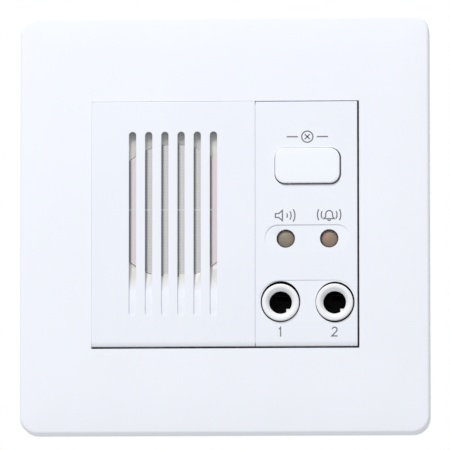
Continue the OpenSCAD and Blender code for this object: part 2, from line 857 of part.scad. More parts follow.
module plate_frame_screws() {
    color("silver")
        for (side = [-1, 1])
            for (end = [-1, 1])
                at(side * plate_screw_x, end * plate_screw_z)
                    screw_from_front(frame_screw_r, frame_head_r, plate_frame_face_y, 0);
}

module unit_screw_holes(r, front, back) {
    for (side = [-1, 1])
        for (end = [-1, 1])
            at(side * unit_screw_x, end * unit_screw_z)
                rod(r, front, back);
}

module box_screw_slots(front, back) {
    end_shift = box_slot_l / 2 - box_slot_r;
    for (side = [-1, 1])
        for (end = [-1, 1])
            at(side * box_screw_x / 2, end * box_screw_z / 2) {
                block(2 * end_shift, 2 * box_slot_r, front, back);
                at(-end_shift, 0)
                    rod(box_slot_r, front, back);
                at(end_shift, 0)
                    rod(box_slot_r, front, back);
            }
}

module mounting_frame() {
    color("lightgray") {
        difference() {
            rounded_block(frame_w, frame_h, frame_r, -frame_t, 0);
            block(case_w + 2 * loose_gap, case_h + 2 * loose_gap, -frame_t - over, over);
            box_screw_slots(-frame_t - over, over);
            plate_screw_holes(frame_screw_r + thread_gap, -frame_t - over, over);
            unit_screw_holes(frame_screw_r + thread_gap, -frame_t - over, over);
        }
        for (side = [-1, 1])
            at(side * (case_w / 2 + loose_gap + frame_t / 2), 0)
                block(frame_t, frame_tab_h, -frame_t / 2, frame_tab_l);
    }
}

module unit_screws() {
    color("silver")
        for (side = [-1, 1])
            for (end = [-1, 1])
                at(side * unit_screw_x, end * unit_screw_z)
                    screw_from_front(frame_screw_r, frame_head_r, case_face_y, 0);
}

// The case's window is open between the top shelf and the bottom ledge
module case_window() {
    h = case_window_top - case_window_foot;
    at(0, (case_window_top + case_window_foot) / 2)
        block(2 * case_window_half, h, case_face_y - over, case_back_of_front_y + over);
    for (x = jack_xs)
        at(x, jack_z)
            rod(jack_nose_r + jack_gap, case_face_y - over, case_back_of_front_y + over);
}

module case_posts() {
    for (side = [-1, 1])
        for (z = post_zs)
            at(side * (post_x + root_in / 2), z)
                block(post_w + root_in, post_w, case_back_of_front_y - root_in, main_board_y);
    for (side = [-1, 1])
        for (end = [-1, 1])
            at(side * (corner_x + root_in / 2), end * (corner_z + root_in / 2))
                block(case_boss_w + root_in, case_boss_w + root_in, case_back_y - case_boss_l, case_back_y);
}

module unit_case() {
    color("gainsboro")
        difference() {
            union() {
                block(case_front_w, case_front_h, case_face_y, case_back_of_front_y);
                difference() {
                    block(case_w, case_h, case_back_of_front_y - root_in, case_back_y);
                    block(case_in_w, case_in_h, case_back_of_front_y, case_back_y + over);
                }
                case_posts();
            }
            case_window();
            unit_screw_holes(frame_screw_r + hole_gap, case_face_y - over, case_back_of_front_y + over);
            for (x = panel_screw_xs)
                at(x, panel_screw_z)
                    rod(small_screw_r + hole_gap, case_face_y - over, case_back_of_front_y + over);
            for (side = [-1, 1])
                for (z = post_zs)
                    at(side * post_x, z)
                        rod(small_screw_r + thread_gap, main_board_y - board_screw_depth, main_board_y + over);
            for (side = [-1, 1])
                for (end = [-1, 1])
                    at(side * corner_x, end * corner_z)
                        rod(small_screw_r + thread_gap, case_back_y - cover_screw_depth, case_back_y + over);
        }
}

module main_board_screws() {
    color("silver")
        for (side = [-1, 1])
            for (z = post_zs)
                at(side * post_x, z)
                    screw_from_behind(small_screw_r, small_head_r,
                        main_board_y - board_screw_depth + tip_gap, main_board_back_y);
}

module rear_cover_screws() {
    color("silver")
        for (side = [-1, 1])
            for (end = [-1, 1])
                at(side * corner_x, end * corner_z)
                    screw_from_behind(small_screw_r, small_head_r,
                        case_back_y - cover_screw_depth + tip_gap, cover_back_y);
}

module rear_cover() {
    rim_w = case_in_w - 2 * fit_gap;
    rim_h = case_in_h - 2 * fit_gap;
    rim_front = case_back_y - cover_rim_h;
    color("gainsboro")
        difference() {
            union() {
                block(case_w, case_h, case_back_y, cover_back_y);
                difference() {
                    block(rim_w, rim_h, rim_front, case_back_y + root_in);
                    block(rim_w - 2 * cover_rim_t, rim_h - 2 * cover_rim_t, rim_front - over, case_back_y);
                    for (side = [-1, 1])
                        for (end = [-1, 1])
                            at(side * corner_x, end * corner_z)
                                block(case_boss_w + 2 * loose_gap, case_boss_w + 2 * loose_gap,
                                    rim_front - over, case_back_y);
                }
            }
            at(terminal_x, terminal_z)
                block(terminal_w + 2 * loose_gap, terminal_h + 2 * loose_gap,
                    rim_front - over, cover_back_y + over);
            for (i = [0 : vent_count - 1])
                at(speaker_x + (i - (vent_count - 1) / 2) * vent_pitch, vent_z)
                    upright(case_back_y - over, cover_back_y + over)
                        slot_outline(vent_w, vent_l);
            for (side = [-1, 1])
                for (end = [-1, 1])
                    at(side * corner_x, end * corner_z)
                        rod(small_screw_r + hole_gap, case_back_y - over, cover_back_y + over);
        }
}

// One half of the front: a tray with its front wall and four side walls
module panel_tray(left, right) {
    w = right - left;
    at((left + right) / 2, 0)
        difference() {
            block(w, panel_h, panel_face_y, case_face_y);
            block(w - 2 * skirt_wall, panel_h - 2 * skirt_wall, panel_back_y, case_face_y + over);
        }
}

// Bevel along the panels' lower edge
module foot_bevel() {
    foot = -panel_h / 2;
    rotate([0, -90, 0])
        linear_extrude(panel_w + 2 * over, center = true)
            polygon([
                [foot - over, panel_face_y - over],
                [foot + foot_bevel_h, panel_face_y - over],
                [foot + foot_bevel_h, panel_face_y],
                [foot, panel_face_y + foot_bevel_d],
                [foot - over, panel_face_y + foot_bevel_d]
            ]);
}

module panel_screw_bosses(xs) {
    for (x = xs)
        at(x, panel_screw_z)
            rod(panel_boss_r, panel_back_y - root_in, case_face_y);
}

module panel_pilot_holes(xs) {
    for (x = xs)
        at(x, panel_screw_z)
            rod(small_screw_r + thread_gap, panel_back_y, case_face_y + over);
}

// Hooks that catch behind the ledge at the foot of the case's window
module panel_hooks(xs) {
    arm_z = case_window_foot + fit_gap + panel_hook_t / 2;
    barb_h = panel_hook_t + fit_gap + panel_hook_barb;
    barb_front = case_back_of_front_y + fit_gap;
    for (x = xs) {
        at(x, arm_z)
            block(panel_hook_w, panel_hook_t, panel_back_y - root_in, barb_front + panel_hook_t);
        at(x, arm_z + panel_hook_t / 2 - barb_h / 2)
            block(panel_hook_w, barb_h, barb_front, barb_front + panel_hook_t);
    }
}

// Upright slots with a floor that is deep above and shallow below
module grille_slots() {
    across = slot_count * slot_pitch + slot_w;
    deep_y = panel_face_y + slot_depth;
    shallow_y = panel_face_y + slot_shallow;
    intersection() {
        for (i = [0 : slot_count - 1])
            at((i - (slot_count - 1) / 2) * slot_pitch, 0)
                upright(panel_face_y - over, deep_y + over)
                    slot_outline(slot_w, slot_l);
        rotate([0, -90, 0])
            linear_extrude(across, center = true)
                polygon([
                    [slot_l / 2 + over, panel_face_y - over],
                    [slot_l / 2 + over, deep_y],
                    [slot_ramp_top_z, deep_y],
                    [slot_ramp_foot_z, shallow_y],
                    [-slot_l / 2 - over, shallow_y],
                    [-slot_l / 2 - over, panel_face_y - over]
                ]);
    }
}

module clamp_places() {
    for (a = clamp_angles)
        translate([speaker_x + clamp_screw_r * cos(a), 0, window_z + clamp_screw_r * sin(a)])
            children();
}

module speaker_panel() {
    ring_r = window_r + speaker_ring_t;
    rib_w = (slot_count - 1) * slot_pitch + 2 * slot_w;
    color("white") {
        difference() {
            union() {
                panel_tray(-panel_w / 2, seam_x - seam_gap / 2);
                at(speaker_x, window_z)
                    rod(ring_r, panel_back_y - root_in, rim_back_y);
                clamp_places()
                    rod(clamp_boss_r, panel_back_y - root_in, rim_back_y);
                panel_screw_bosses([panel_screw_xs[0], panel_screw_xs[1]]);
                panel_hooks(speaker_hook_xs);
            }
            at(speaker_x, window_z)
                rod(window_r, window_face_y, rim_back_y + over);
            at(speaker_x, 0)
                grille_slots();
            clamp_places()
                rod(small_screw_r + thread_gap, panel_back_y, rim_back_y + over);
            panel_pilot_holes([panel_screw_xs[0], panel_screw_xs[1]]);
            foot_bevel();
        }
        at(speaker_x, window_z)
            at(0, cross_rib_up)
                block(rib_w, cross_rib_h, panel_face_y + cross_rib_setback, window_face_y);
    }
}

module board_screw_sites() {
    for (p = board_screw_places)
        at(p[0], p[1])
            children();
}

module control_panel() {
    field_w = jack_spacing + 2 * (jack_nose_r + jack_gap + jack_field_rim);
    field_h = 2 * (jack_nose_r + jack_gap + jack_field_rim);
    color("white")
        difference() {
            union() {
                panel_tray(seam_x + seam_gap / 2, panel_w / 2);
                board_screw_sites()
                    rod(board_boss_r, panel_back_y - root_in, front_board_y);
                panel_screw_bosses([panel_screw_xs[2], panel_screw_xs[3]]);
                panel_hooks([control_x]);
            }
            at(control_x, button_z)
                rounded_block(button_w + 2 * button_gap, button_h + 2 * button_gap,
                    button_r + button_gap, panel_face_y - over, panel_back_y + over);
            at(control_x, lamp_z)
                rounded_block(lamp_field_w, lamp_field_h, lamp_field_r,
                    panel_face_y - over, panel_face_y + lamp_field_d);
            for (x = lamp_xs)
                at(x, lamp_z)
                    rod(lamp_r + lamp_gap, panel_face_y - over, panel_back_y + over);
            at(control_x, jack_z) {
                block(field_w - field_h, field_h, panel_face_y - over, panel_face_y + jack_field_d);
            }
            for (x = jack_xs)
                at(x, jack_z) {
                    rod(field_h / 2, panel_face_y - over, panel_face_y + jack_field_d);
                    rod(jack_nose_r + jack_gap, panel_face_y - over, case_face_y + over);
                }
            board_screw_sites()
                rod(small_screw_r + thread_gap, panel_back_y, front_board_y + over);
            panel_pilot_holes([panel_screw_xs[2], panel_screw_xs[3]]);
            foot_bevel();
        }
}

module panel_screws() {
    color("silver")
        for (x = panel_screw_xs)
            at(x, panel_screw_z)
                screw_from_behind(small_screw_r, small_head_r,
                    panel_back_y + tip_gap, case_back_of_front_y);
}

module at_speaker() {
    at(speaker_x, window_z)
        children();
}

module speaker_cloth() {
    color("lightgray")
        at_speaker()
            rod(window_r - fit_gap, window_face_y, cloth_back_y);
}

module speaker_gasket() {
    color("dimgray")
        at_speaker()
            tube(speaker_r, surround_out_r, cloth_back_y, gasket_back_y);
}

module speaker_basket() {
    seat_r = pole_plate_r + spider_seat_w;
    cup_r = seat_r + basket_t;
    mouth_r = surround_out_r - basket_t / 2;
    spider_back_y = spider_y + spider_t;
    color("slategray")
        at_speaker()
            difference() {
                union() {
                    turned([
                        [surround_out_r, rim_face_y],
                        [speaker_r, rim_face_y],
                        [speaker_r, rim_back_y],
                        [mouth_r, rim_back_y],
                        [cup_r, cup_back_y - basket_t],
                        [cup_r, cup_back_y],
                        [gap_out_r, cup_back_y],
                        [gap_out_r, cup_back_y - basket_t],
                        [pole_plate_r, cup_back_y - basket_t],
                        [pole_plate_r, spider_back_y],
                        [seat_r, spider_back_y],
                        [mouth_r - basket_t, rim_back_y - basket_t / 2],
                        [speaker_r - basket_t, rim_back_y - basket_t / 2],
                        [speaker_r - basket_t, rim_face_y + basket_t / 2],
                        [surround_out_r, rim_face_y + basket_t / 2]
                    ]);
                    at(0, -cup_r - strip_tab_l / 2 + root_in)
                        block(strip_tab_w, strip_tab_l + 2 * root_in, cup_back_y - basket_t, cup_back_y);
                }
                for (a = basket_window_angles)
                    rotate([0, a, 0])
                        at((cup_r + mouth_r) / 2, 0)
                            block(mouth_r - cup_r + basket_t, cup_r, rim_back_y + basket_t, spider_back_y - basket_t);
            }
}

// Half a roll between the basket's flange and the cone's edge, bulging backwards
function roll_arc(r, first, last, step) =
    let (roll_mid = (surround_in_r + surround_out_r) / 2)
    [for (i = [first : step : last])
        let (a = 180 * i / roll_steps)
        [roll_mid + r * cos(a), rim_face_y + r * sin(a) * roll_depth_share]];

module speaker_surround() {
    outer_r = (surround_out_r - surround_in_r) / 2;
    inner_r = outer_r - surround_t;
    color("black")
        at_speaker() {
            turned(concat(
                roll_arc(outer_r, 0, roll_steps, 1),
                roll_arc(inner_r, roll_steps, 0, -1)
            ));
            tube(speaker_r, surround_out_r - surround_t, gasket_back_y, rim_face_y);
        }
}

module speaker_cone() {
    neck_y = former_face_y + neck_setback;
    neck_r = former_out_r + glue_gap;
    lip_r = surround_in_r - glue_gap;
    color("darkslategray")
        at_speaker()
            turned([
                [neck_r, neck_y],
                [lip_r, cone_rim_y],
                [lip_r, cone_rim_y + cone_t],
                [neck_r + cone_t, neck_y + cone_t],
                [neck_r, neck_y + cone_t]
            ]);
}

function dome_arc(r, h, foot_y, first, last, step) =
    [for (i = [first : step : last])
        let (a = 90 * i / cap_steps)
        [r * cos(a), foot_y - h * sin(a)]];

module speaker_dust_cap() {
    cap_r = former_out_r + cap_overhang;
    foot_y = former_face_y - glue_gap;
    color("black")
        at_speaker()
            turned(concat(
                dome_arc(cap_r, cap_h, foot_y, 0, cap_steps, 1),
                dome_arc(cap_r - cap_t, cap_h - cap_t, foot_y, cap_steps, 0, -1)
            ));
}

module speaker_voice_coil() {
    color("peru")
        at_speaker() {
            tube(former_out_r, former_in_r, former_face_y, winding_y + winding_half);
            tube(coil_out_r, former_out_r - former_t / 2, winding_y - winding_half, winding_y + winding_half);
        }
}

module speaker_spider() {
    color("goldenrod")
        at_speaker()
            tube(pole_plate_r + spider_seat_w - fit_gap, former_out_r + fit_gap, spider_y, spider_y + spider_t);
}

module speaker_top_plate() {
    color("gray")
        at_speaker()
            tube(pole_plate_r, gap_out_r, cup_back_y, magnet_face_y);
}

module speaker_magnet() {
    color("black")
        at_speaker()
            tube(magnet_r, gap_out_r + coil_gap, magnet_face_y, magnet_back_y);
}

module speaker_yoke() {
    color("gray")
        at_speaker() {
            rod(pole_plate_r, magnet_back_y, yoke_back_y);
            rod(pole_r, cup_back_y, magnet_back_y + root_in);
        }
}

module speaker_terminal_strip() {
    color("sienna")
        at_speaker()
            at(0, -strip_r)
                block(strip_tab_w, strip_h, cup_back_y, cup_back_y + basket_t);
}

module speaker_clamps() {
    color("silver")
        clamp_places_turned()
            difference() {
                at(-clamp_reach / 2, 0)
                    block(clamp_w + clamp_reach, clamp_w, rim_back_y, rim_back_y + clamp_t);
                rod(small_screw_r + hole_gap, rim_back_y - over, rim_back_y + clamp_t + over);
            }
}

// The same places as clamp_places, each turned so that its +X points outwards
module clamp_places_turned() {
    for (a = clamp_angles)
        at(speaker_x, window_z)
            rotate([0, -a, 0])
                at(clamp_screw_r, 0)
                    children();
}

module speaker_clamp_screws() {
    color("silver")
        clamp_places()
            screw_from_behind(small_screw_r, clamp_head_r, panel_back_y + tip_gap, rim_back_y + clamp_t);
}

// Sweeps a round wire along points. It has as many sides as asked, and up is a
// direction that the wire never runs along.
function unit(v) = v / norm(v);
function wire_tangent(route, i) =
    unit(route[min(i + 1, len(route) - 1)] - route[max(i - 1, 0)]);
function wire_ring(route, i, r, sides, up) =
    let (t = wire_tangent(route, i))
    let (u = unit(cross(t, up)))
    let (v = cross(t, u))
    [for (k = [0 : sides - 1])
        route[i] + r * cos(360 * k / sides) * u + r * sin(360 * k / sides) * v];

module wire(route, r, sides, up) {
    last = len(route) - 1;
    points = [for (i = [0 : last]) each wire_ring(route, i, r, sides, up)];
    sides_of_wire = [for (i = [0 : last - 1])
        for (k = [0 : sides - 1])
            let (a = i * sides + k)
            let (b = i * sides + (k + 1) % sides)
            each [[a, b, b + sides], [a, b + sides, a + sides]]];
    start_cap = [for (k = [1 : sides - 2]) [0, k + 1, k]];
    end_cap = [for (k = [1 : sides - 2]) [last * sides, last * sides + k, last * sides + k + 1]];
    polyhedron(points, concat(sides_of_wire, start_cap, end_cap), convexity = 6);
}

// A smooth line through chosen points: each piece is a cubic with matched slopes
function bend(route, i, t) =
    let (a = route[max(i - 1, 0)])
    let (b = route[i])
    let (c = route[i + 1])
    let (d = route[min(i + 2, len(route) - 1)])
    b + (c - a) * t / 2 + (a * 2 - b * 5 + c * 4 - d) * t * t / 2 + (b * 3 - a - c * 3 + d) * t * t * t / 2;
function smooth_route(route, steps) = concat(
    [for (i = [0 : len(route) - 2]) for (s = [0 : steps - 1]) bend(route, i, s / steps)],
    [route[len(route) - 1]]
);

module speaker_leads() {
    color("firebrick")
        for (side = [-1, 1])
            translate([speaker_x + side * lead_pitch / 2, 0, 0])
                wire(smooth_route(lead_route_at, lead_steps), lead_r, lead_sides, [1, 0, 0]);
}

module cancel_button() {
    color("white")
        at(control_x, button_z) {
            difference() {
                union() {
                    rounded_block(button_w, button_h, button_r, button_face_y, button_back_y);
                    rounded_block(button_w + 2 * button_flange, button_h + 2 * button_flange,
                        button_r + button_flange, button_flange_y, button_back_y);
                }
                rounded_block(button_w - 2 * button_wall, button_h - 2 * button_wall,
                    button_r - button_wall / 2, button_inner_y, button_back_y + over);
            }
            rod(button_stem_r, button_inner_y - root_in, plunger_face_y);
        }
}

module button_spring() {
    color("silver")
        at(control_x, button_z)
            wire(spring_route, spring_wire_r, wire_sides, [0, 1, 0]);
}

module switch_pin_places() {
    for (side = [-1, 1])
        for (end = [-1, 1])
            at(side * switch_pin_x, end * switch_pin_z)
                children();
}

module switch_body() {
    color("dimgray")
        at(control_x, button_z)
            difference() {
                block(switch_w, switch_w, switch_face_y, front_board_y);
                rod(plunger_r + plunger_gap, switch_face_y - over, front_board_y - switch_floor_t);
            }
}

module switch_plunger() {
    color("ivory")
        at(control_x, button_z)
            rod(plunger_r, plunger_face_y, plunger_back_y);
}

module switch_pins() {
    color("silver")
        at(control_x, button_z)
            switch_pin_places()
                rod(switch_pin_r, front_board_y, front_board_back_y + pin_out);
}

module lamp(x, tint) {
    color(tint)
        at(x, lamp_z) {
            intersection() {
                rod(lamp_r, lamp_face_y, lamp_face_y + lamp_dome_r);
                translate([0, lamp_face_y + lamp_dome_r, 0])
                    sphere(r = lamp_dome_r);
            }
            rod(lamp_r, lamp_face_y + lamp_dome_r - over, lamp_base_y);
            rod(lamp_r + lamp_flange, lamp_base_y - lamp_flange_t, lamp_base_y);
        }
}

module lamp_spacer(x) {
    color("ivory")
        at(x, lamp_z)
            tube(lamp_r + lamp_flange, lamp_wire_pitch / 2 + 2 * lamp_wire_r, lamp_base_y, front_board_y);
}

module lamp_leads(x) {
    color("silver")
        at(x, lamp_z)
            for (side = [-1, 1])
                at(side * lamp_wire_pitch / 2, 0)
                    rod(lamp_wire_r, lamp_base_y, front_board_back_y + pin_out);
}

module talk_lamp() {
    lamp(lamp_xs[0], "darkkhaki");
}

module call_lamp() {
    lamp(lamp_xs[1], "rosybrown");
}

// Places in the plane of a socket, at an angle about its middle and a distance from it
module at_angle(a, r) {
    rotate([0, -a, 0])
        at(r, 0)
            children();
}

// Windows that the three tags of a socket pass through, with room to swing
module tag_windows(front, back) {
    thick = strip_t + 2 * spring_swing_gap;
    wide = tag_w + 2 * spring_swing_gap;
    at_angle(sleeve_angle, sleeve_strip_r)
        block(thick, wide, front, back);
    at_angle(tip_angle, tip_strip_r + strip_t / 2)
        at(0, -tag_shift)
            block(thick, wide, front, back);
    at_angle(tip_angle, break_r + strip_t / 2)
        at(0, tag_shift)
            block(thick, wide, front, back);
}

module jack_body(x) {
    color("white")
        at(x, jack_z)
            difference() {
                union() {
                    rod(jack_nose_r, jack_face_y, jack_body_y + root_in);
                    block(jack_body_w, jack_body_w, jack_body_y, main_board_y);
                }
                rod(jack_bore_r, jack_face_y - over, jack_land_back_y + over);
                rod(jack_relief_r, jack_land_back_y, jack_chamber_y + over);
                at_angle(sleeve_angle, (jack_bore_r + contact_slot_r) / 2)
                    block(contact_slot_r - jack_bore_r, sleeve_strip_w + 2 * spring_swing_gap,
                        jack_land_back_y, jack_chamber_y + over);
                translate([0, jack_bore_face_y, 0])
                    rotate([90, 0, 0])
                        cylinder(r1 = jack_bore_r, r2 = jack_lead_r, h = jack_lead_d);
                block(jack_chamber_w, jack_chamber_w, jack_chamber_y, jack_floor_y);
                tag_windows(jack_floor_y - over, main_board_y + over);
            }
}

// A leaf spring seen from its side: a straight leaf, a nose bent towards the plug,
// and a short tail that leads back outwards
function leaf_points(leaf_r, nose_r, nose_y, nose_l, tail_l, back) =
    let (inner = [
        [leaf_r, back],
        [leaf_r, nose_y + nose_l],
        [nose_r, nose_y],
        [nose_r + tail_l, nose_y - tail_l]
    ])
    concat(inner, [for (i = [len(inner) - 1 : -1 : 0]) inner[i] + [strip_t, strip_t / 4 * (i == 0 ? 0 : -1)]]);

// The straight tag that goes back through the body and the main board
function tag_points(r, front) = [
    [r, front],
    [r, main_board_y + tag_l],
    [r + strip_t, main_board_y + tag_l],
    [r + strip_t, front]
];

module leaf(points, w) {
    linear_extrude(w, center = true)
        polygon(points);
}

// The sleeve spring's nose comes to a point where it touches the plug
module pointed_outline(tip_r, back_r, w) {
    polygon([
        [tip_r, 0],
        [tip_r + w / 2, w / 2],
        [back_r, w / 2],
        [back_r, -w / 2],
        [tip_r + w / 2, -w / 2]
    ]);
}

module sleeve_spring(x) {
    r = sleeve_strip_r - strip_t / 2;
    root_y = jack_floor_y - leaf_root_gap;
    color("gold")
        at(x, jack_z)
            rotate([0, -sleeve_angle, 0]) {
                intersection() {
                    leaf(leaf_points(r, contact_tip_r, sleeve_nose, sleeve_nose_l, leaf_tail_l, root_y),
                        sleeve_strip_w);
                    upright(jack_land_back_y, main_board_y)
                        pointed_outline(contact_tip_r, jack_nose_r, sleeve_strip_w);
                }
                leaf(tag_points(r, root_y - root_in), tag_w);
            }
}

module tip_spring(x) {
    r = tip_strip_r;
    color("gold")
        at(x, jack_z)
            rotate([0, -tip_angle, 0]) {
                leaf(leaf_points(r, contact_tip_r, tip_nose, tip_nose_l, leaf_tail_l, jack_floor_y - leaf_root_gap),
                    tip_strip_w);
                translate([0, 0, -tag_shift])
                    leaf(tag_points(r, jack_floor_y - leaf_root_gap - root_in), tag_w);
            }
}

module break_contact(x) {
    color("silver")
        at(x, jack_z)
            rotate([0, -tip_angle, 0])
                translate([0, 0, tag_shift])
                    leaf(tag_points(break_r, jack_floor_y - break_l), tag_w);
}

module left_jack_body() {
    jack_body(jack_xs[0]);
}

module right_jack_body() {
    jack_body(jack_xs[1]);
}

module board_pin_holes(r) {
    at(control_x, button_z)
        switch_pin_places()
            rod(r, front_board_y - over, front_board_back_y + over);
    for (x = lamp_xs)
        for (side = [-1, 1])
            at(x + side * lamp_wire_pitch / 2, lamp_z)
                rod(r, front_board_y - over, front_board_back_y + over);
}

module front_board() {
    color("seagreen")
        difference() {
            at(front_board_x, front_board_z)
                block(front_board_w, front_board_h, front_board_y, front_board_back_y);
            board_pin_holes(switch_pin_r + fit_gap);
            board_screw_sites()
                rod(small_screw_r + hole_gap, front_board_y - over, front_board_back_y + over);
        }
}

module front_board_screws() {
    color("silver")
        board_screw_sites()
            screw_from_behind(small_screw_r, board_head_r, panel_back_y + tip_gap, front_board_back_y);
}

module front_board_connector() {
    color("black")
        at(connector_x, connector_z)
            block(connector_w, connector_h, front_board_back_y, front_board_back_y + connector_d);
}

module main_board_connector() {
    color("black")
        at(connector_x, connector_z)
            block(connector_w, connector_h, main_board_y - connector_d, main_board_y);
}

module ribbon_cable() {
    front = front_board_back_y + connector_d;
    length = main_board_y - connector_d - front;
    line = [for (i = [0 : ribbon_steps])
        [connector_z + ribbon_wave * sin(360 * i / ribbon_steps), front + length * i / ribbon_steps]];
    color("slategray")
        at(connector_x, 0)
            rotate([0, -90, 0])
                linear_extrude(connector_w - 2 * ribbon_t, center = true)
                    polygon(concat(
                        [for (p = line) [p[0] - ribbon_t / 2, p[1]]],
                        [for (i = [ribbon_steps : -1 : 0]) [line[i][0] + ribbon_t / 2, line[i][1]]]
                    ));
}

module main_board() {
    notch = 2 * (case_boss_w + board_gap);
    color("seagreen")
        difference() {
            block(main_board_w, main_board_h, main_board_y, main_board_back_y);
            for (side = [-1, 1])
                for (end = [-1, 1])
                    at(side * case_in_w / 2, end * case_in_h / 2)
                        block(notch, notch, main_board_y - over, main_board_back_y + over);
            for (side = [-1, 1])
                for (z = post_zs)
                    at(side * post_x, z)
                        rod(small_screw_r + hole_gap, main_board_y - over, main_board_back_y + over);
            for (x = jack_xs)
                at(x, jack_z)
                    tag_windows(main_board_y - over, main_board_back_y + over);
        }
}

module transformer_core() {
    color("dimgray")
        at(transformer_x, transformer_z)
            difference() {
                block(core_w, core_h, main_board_y - core_d, main_board_y);
                for (side = [-1, 1])
                    at(side * (core_leg_w + core_window_w) / 2, 0)
                        block(core_window_w, core_h + 2 * over, core_window_front_y, core_window_back_y);
            }
}

// The winding goes through both windows, round the core's middle leg
module transformer_winding() {
    color("darkorange")
        at(transformer_x, transformer_z)
            difference() {
                block(core_leg_w + 2 * (core_window_w - fit_gap), core_h + 2 * bobbin_out,
                    core_window_front_y + fit_gap, core_window_back_y - fit_gap);
                block(core_leg_w + 2 * fit_gap, core_h + 2 * fit_gap,
                    core_window_front_y, core_window_back_y);
            }
}

module call_relay() {
    color("royalblue")
        at(relay_x, relay_z)
            block(relay_w, relay_h, main_board_y - relay_d, main_board_y);
}

module supply_capacitor() {
    color("midnightblue")
        at(supply_cap_x, capacitor_z)
            rod(supply_cap_r, main_board_y - supply_cap_l, main_board_y);
}

module coupling_capacitor() {
    color("midnightblue")
        at(coupling_cap_x, capacitor_z)
            rod(coupling_cap_r, main_board_y - coupling_cap_l, main_board_y);
}

module amplifier_chip() {
    color("black")
        at(chip_x, chip_z) {
            block(chip_w, chip_h, main_board_y - chip_t - chip_leg_t, main_board_y - chip_leg_t);
            for (i = [0 : chip_legs - 1])
                for (end = [-1, 1])
                    at((i - (chip_legs - 1) / 2) * chip_pitch, end * (chip_h / 2 + chip_leg_t / 2))
                        block(chip_leg_t, chip_leg_t * 2, main_board_y - chip_t / 2 - chip_leg_t, main_board_y);
        }
}

module terminal_places() {
    pitch = terminal_w / terminal_count;
    for (i = [0 : terminal_count - 1])
        at(terminal_x + (i - (terminal_count - 1) / 2) * pitch, terminal_z)
            children();
}

module terminal_block() {
    back = main_board_back_y + terminal_d;
    color("darkseagreen")
        difference() {
            at(terminal_x, terminal_z)
                block(terminal_w, terminal_h, main_board_back_y, back);
            terminal_places() {
                rod(terminal_well_r, back - terminal_well_d, back + over);
                at(0, -terminal_h / 2)
                    block(wire_port, terminal_h, back - terminal_well_d - wire_port - over, back - terminal_well_d - over);
            }
        }
}

module terminal_screws() {
    floor_y = main_board_back_y + terminal_d - terminal_well_d;
    color("silver")
        terminal_places()
            difference() {
                rod(terminal_well_r - fit_gap, floor_y, floor_y + head_t);
                block(terminal_well_r * recess_share, head_t / 3, floor_y + head_t / 2, floor_y + head_t + over);
            }
}

face_plate();
plate_frame();
plate_frame_screws();
mounting_frame();
unit_case();
unit_screws();
rear_cover();
rear_cover_screws();
speaker_panel();
control_panel();
panel_screws();
speaker_cloth();
speaker_gasket();
speaker_basket();
speaker_surround();
speaker_cone();
speaker_dust_cap();
speaker_voice_coil();
speaker_spider();
speaker_top_plate();
speaker_magnet();
speaker_yoke();
speaker_terminal_strip();
speaker_clamps();
speaker_clamp_screws();
speaker_leads();
cancel_button();
button_spring();
switch_body();
switch_plunger();
switch_pins();
talk_lamp();
call_lamp();
lamp_spacer(lamp_xs[0]);  // talk_lamp_spacer
lamp_spacer(lamp_xs[1]);  // call_lamp_spacer
lamp_leads(lamp_xs[0]);  // talk_lamp_leads
lamp_leads(lamp_xs[1]);  // call_lamp_leads
left_jack_body();
right_jack_body();
sleeve_spring(jack_xs[0]);  // left_jack_sleeve_spring
sleeve_spring(jack_xs[1]);  // right_jack_sleeve_spring
tip_spring(jack_xs[0]);  // left_jack_tip_spring
tip_spring(jack_xs[1]);  // right_jack_tip_spring
break_contact(jack_xs[0]);  // left_jack_break_contact
break_contact(jack_xs[1]);  // right_jack_break_contact
front_board();
front_board_screws();
front_board_connector();
ribbon_cable();
main_board();
main_board_screws();
main_board_connector();
transformer_core();
transformer_winding();
call_relay();
supply_capacitor();
coupling_capacitor();
amplifier_chip();
terminal_block();
terminal_screws();
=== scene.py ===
"""Looks of the flush wall sub station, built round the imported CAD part.

Metres, in the CAD's frame: X to the right, Z up, the wall at Y = 0 and the face
towards -Y. Sizes are written in millimetres and pass through mm().
"""

import json
import math

import bmesh
import bpy
from mathutils import Matrix, Vector

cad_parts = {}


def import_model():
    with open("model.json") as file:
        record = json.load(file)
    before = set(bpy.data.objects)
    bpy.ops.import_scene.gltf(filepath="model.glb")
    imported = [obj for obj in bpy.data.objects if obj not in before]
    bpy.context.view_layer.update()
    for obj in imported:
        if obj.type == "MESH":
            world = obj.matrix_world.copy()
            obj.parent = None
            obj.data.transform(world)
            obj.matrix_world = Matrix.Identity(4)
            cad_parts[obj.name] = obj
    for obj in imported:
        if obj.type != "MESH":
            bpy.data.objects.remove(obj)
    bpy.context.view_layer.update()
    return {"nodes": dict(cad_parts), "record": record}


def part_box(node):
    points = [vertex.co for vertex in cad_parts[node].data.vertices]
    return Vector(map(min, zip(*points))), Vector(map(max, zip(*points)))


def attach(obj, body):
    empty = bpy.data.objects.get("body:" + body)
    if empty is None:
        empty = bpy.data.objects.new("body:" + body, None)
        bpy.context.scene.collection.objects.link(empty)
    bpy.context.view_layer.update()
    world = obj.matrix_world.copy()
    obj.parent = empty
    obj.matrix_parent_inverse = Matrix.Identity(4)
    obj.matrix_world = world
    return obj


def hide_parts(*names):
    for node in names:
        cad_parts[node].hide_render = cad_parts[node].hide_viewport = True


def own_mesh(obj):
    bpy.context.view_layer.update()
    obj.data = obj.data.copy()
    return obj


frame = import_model()
STATION = "station"


def mm(value):
    return value * 0.001


# ---------------------------------------------------------------- the frame's sizes

PLATE_LO, PLATE_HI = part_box("face_plate")
SPEAKER_LO, SPEAKER_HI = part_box("speaker_panel")
CONTROL_LO, CONTROL_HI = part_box("control_panel")
PANEL_FACE = SPEAKER_LO.y


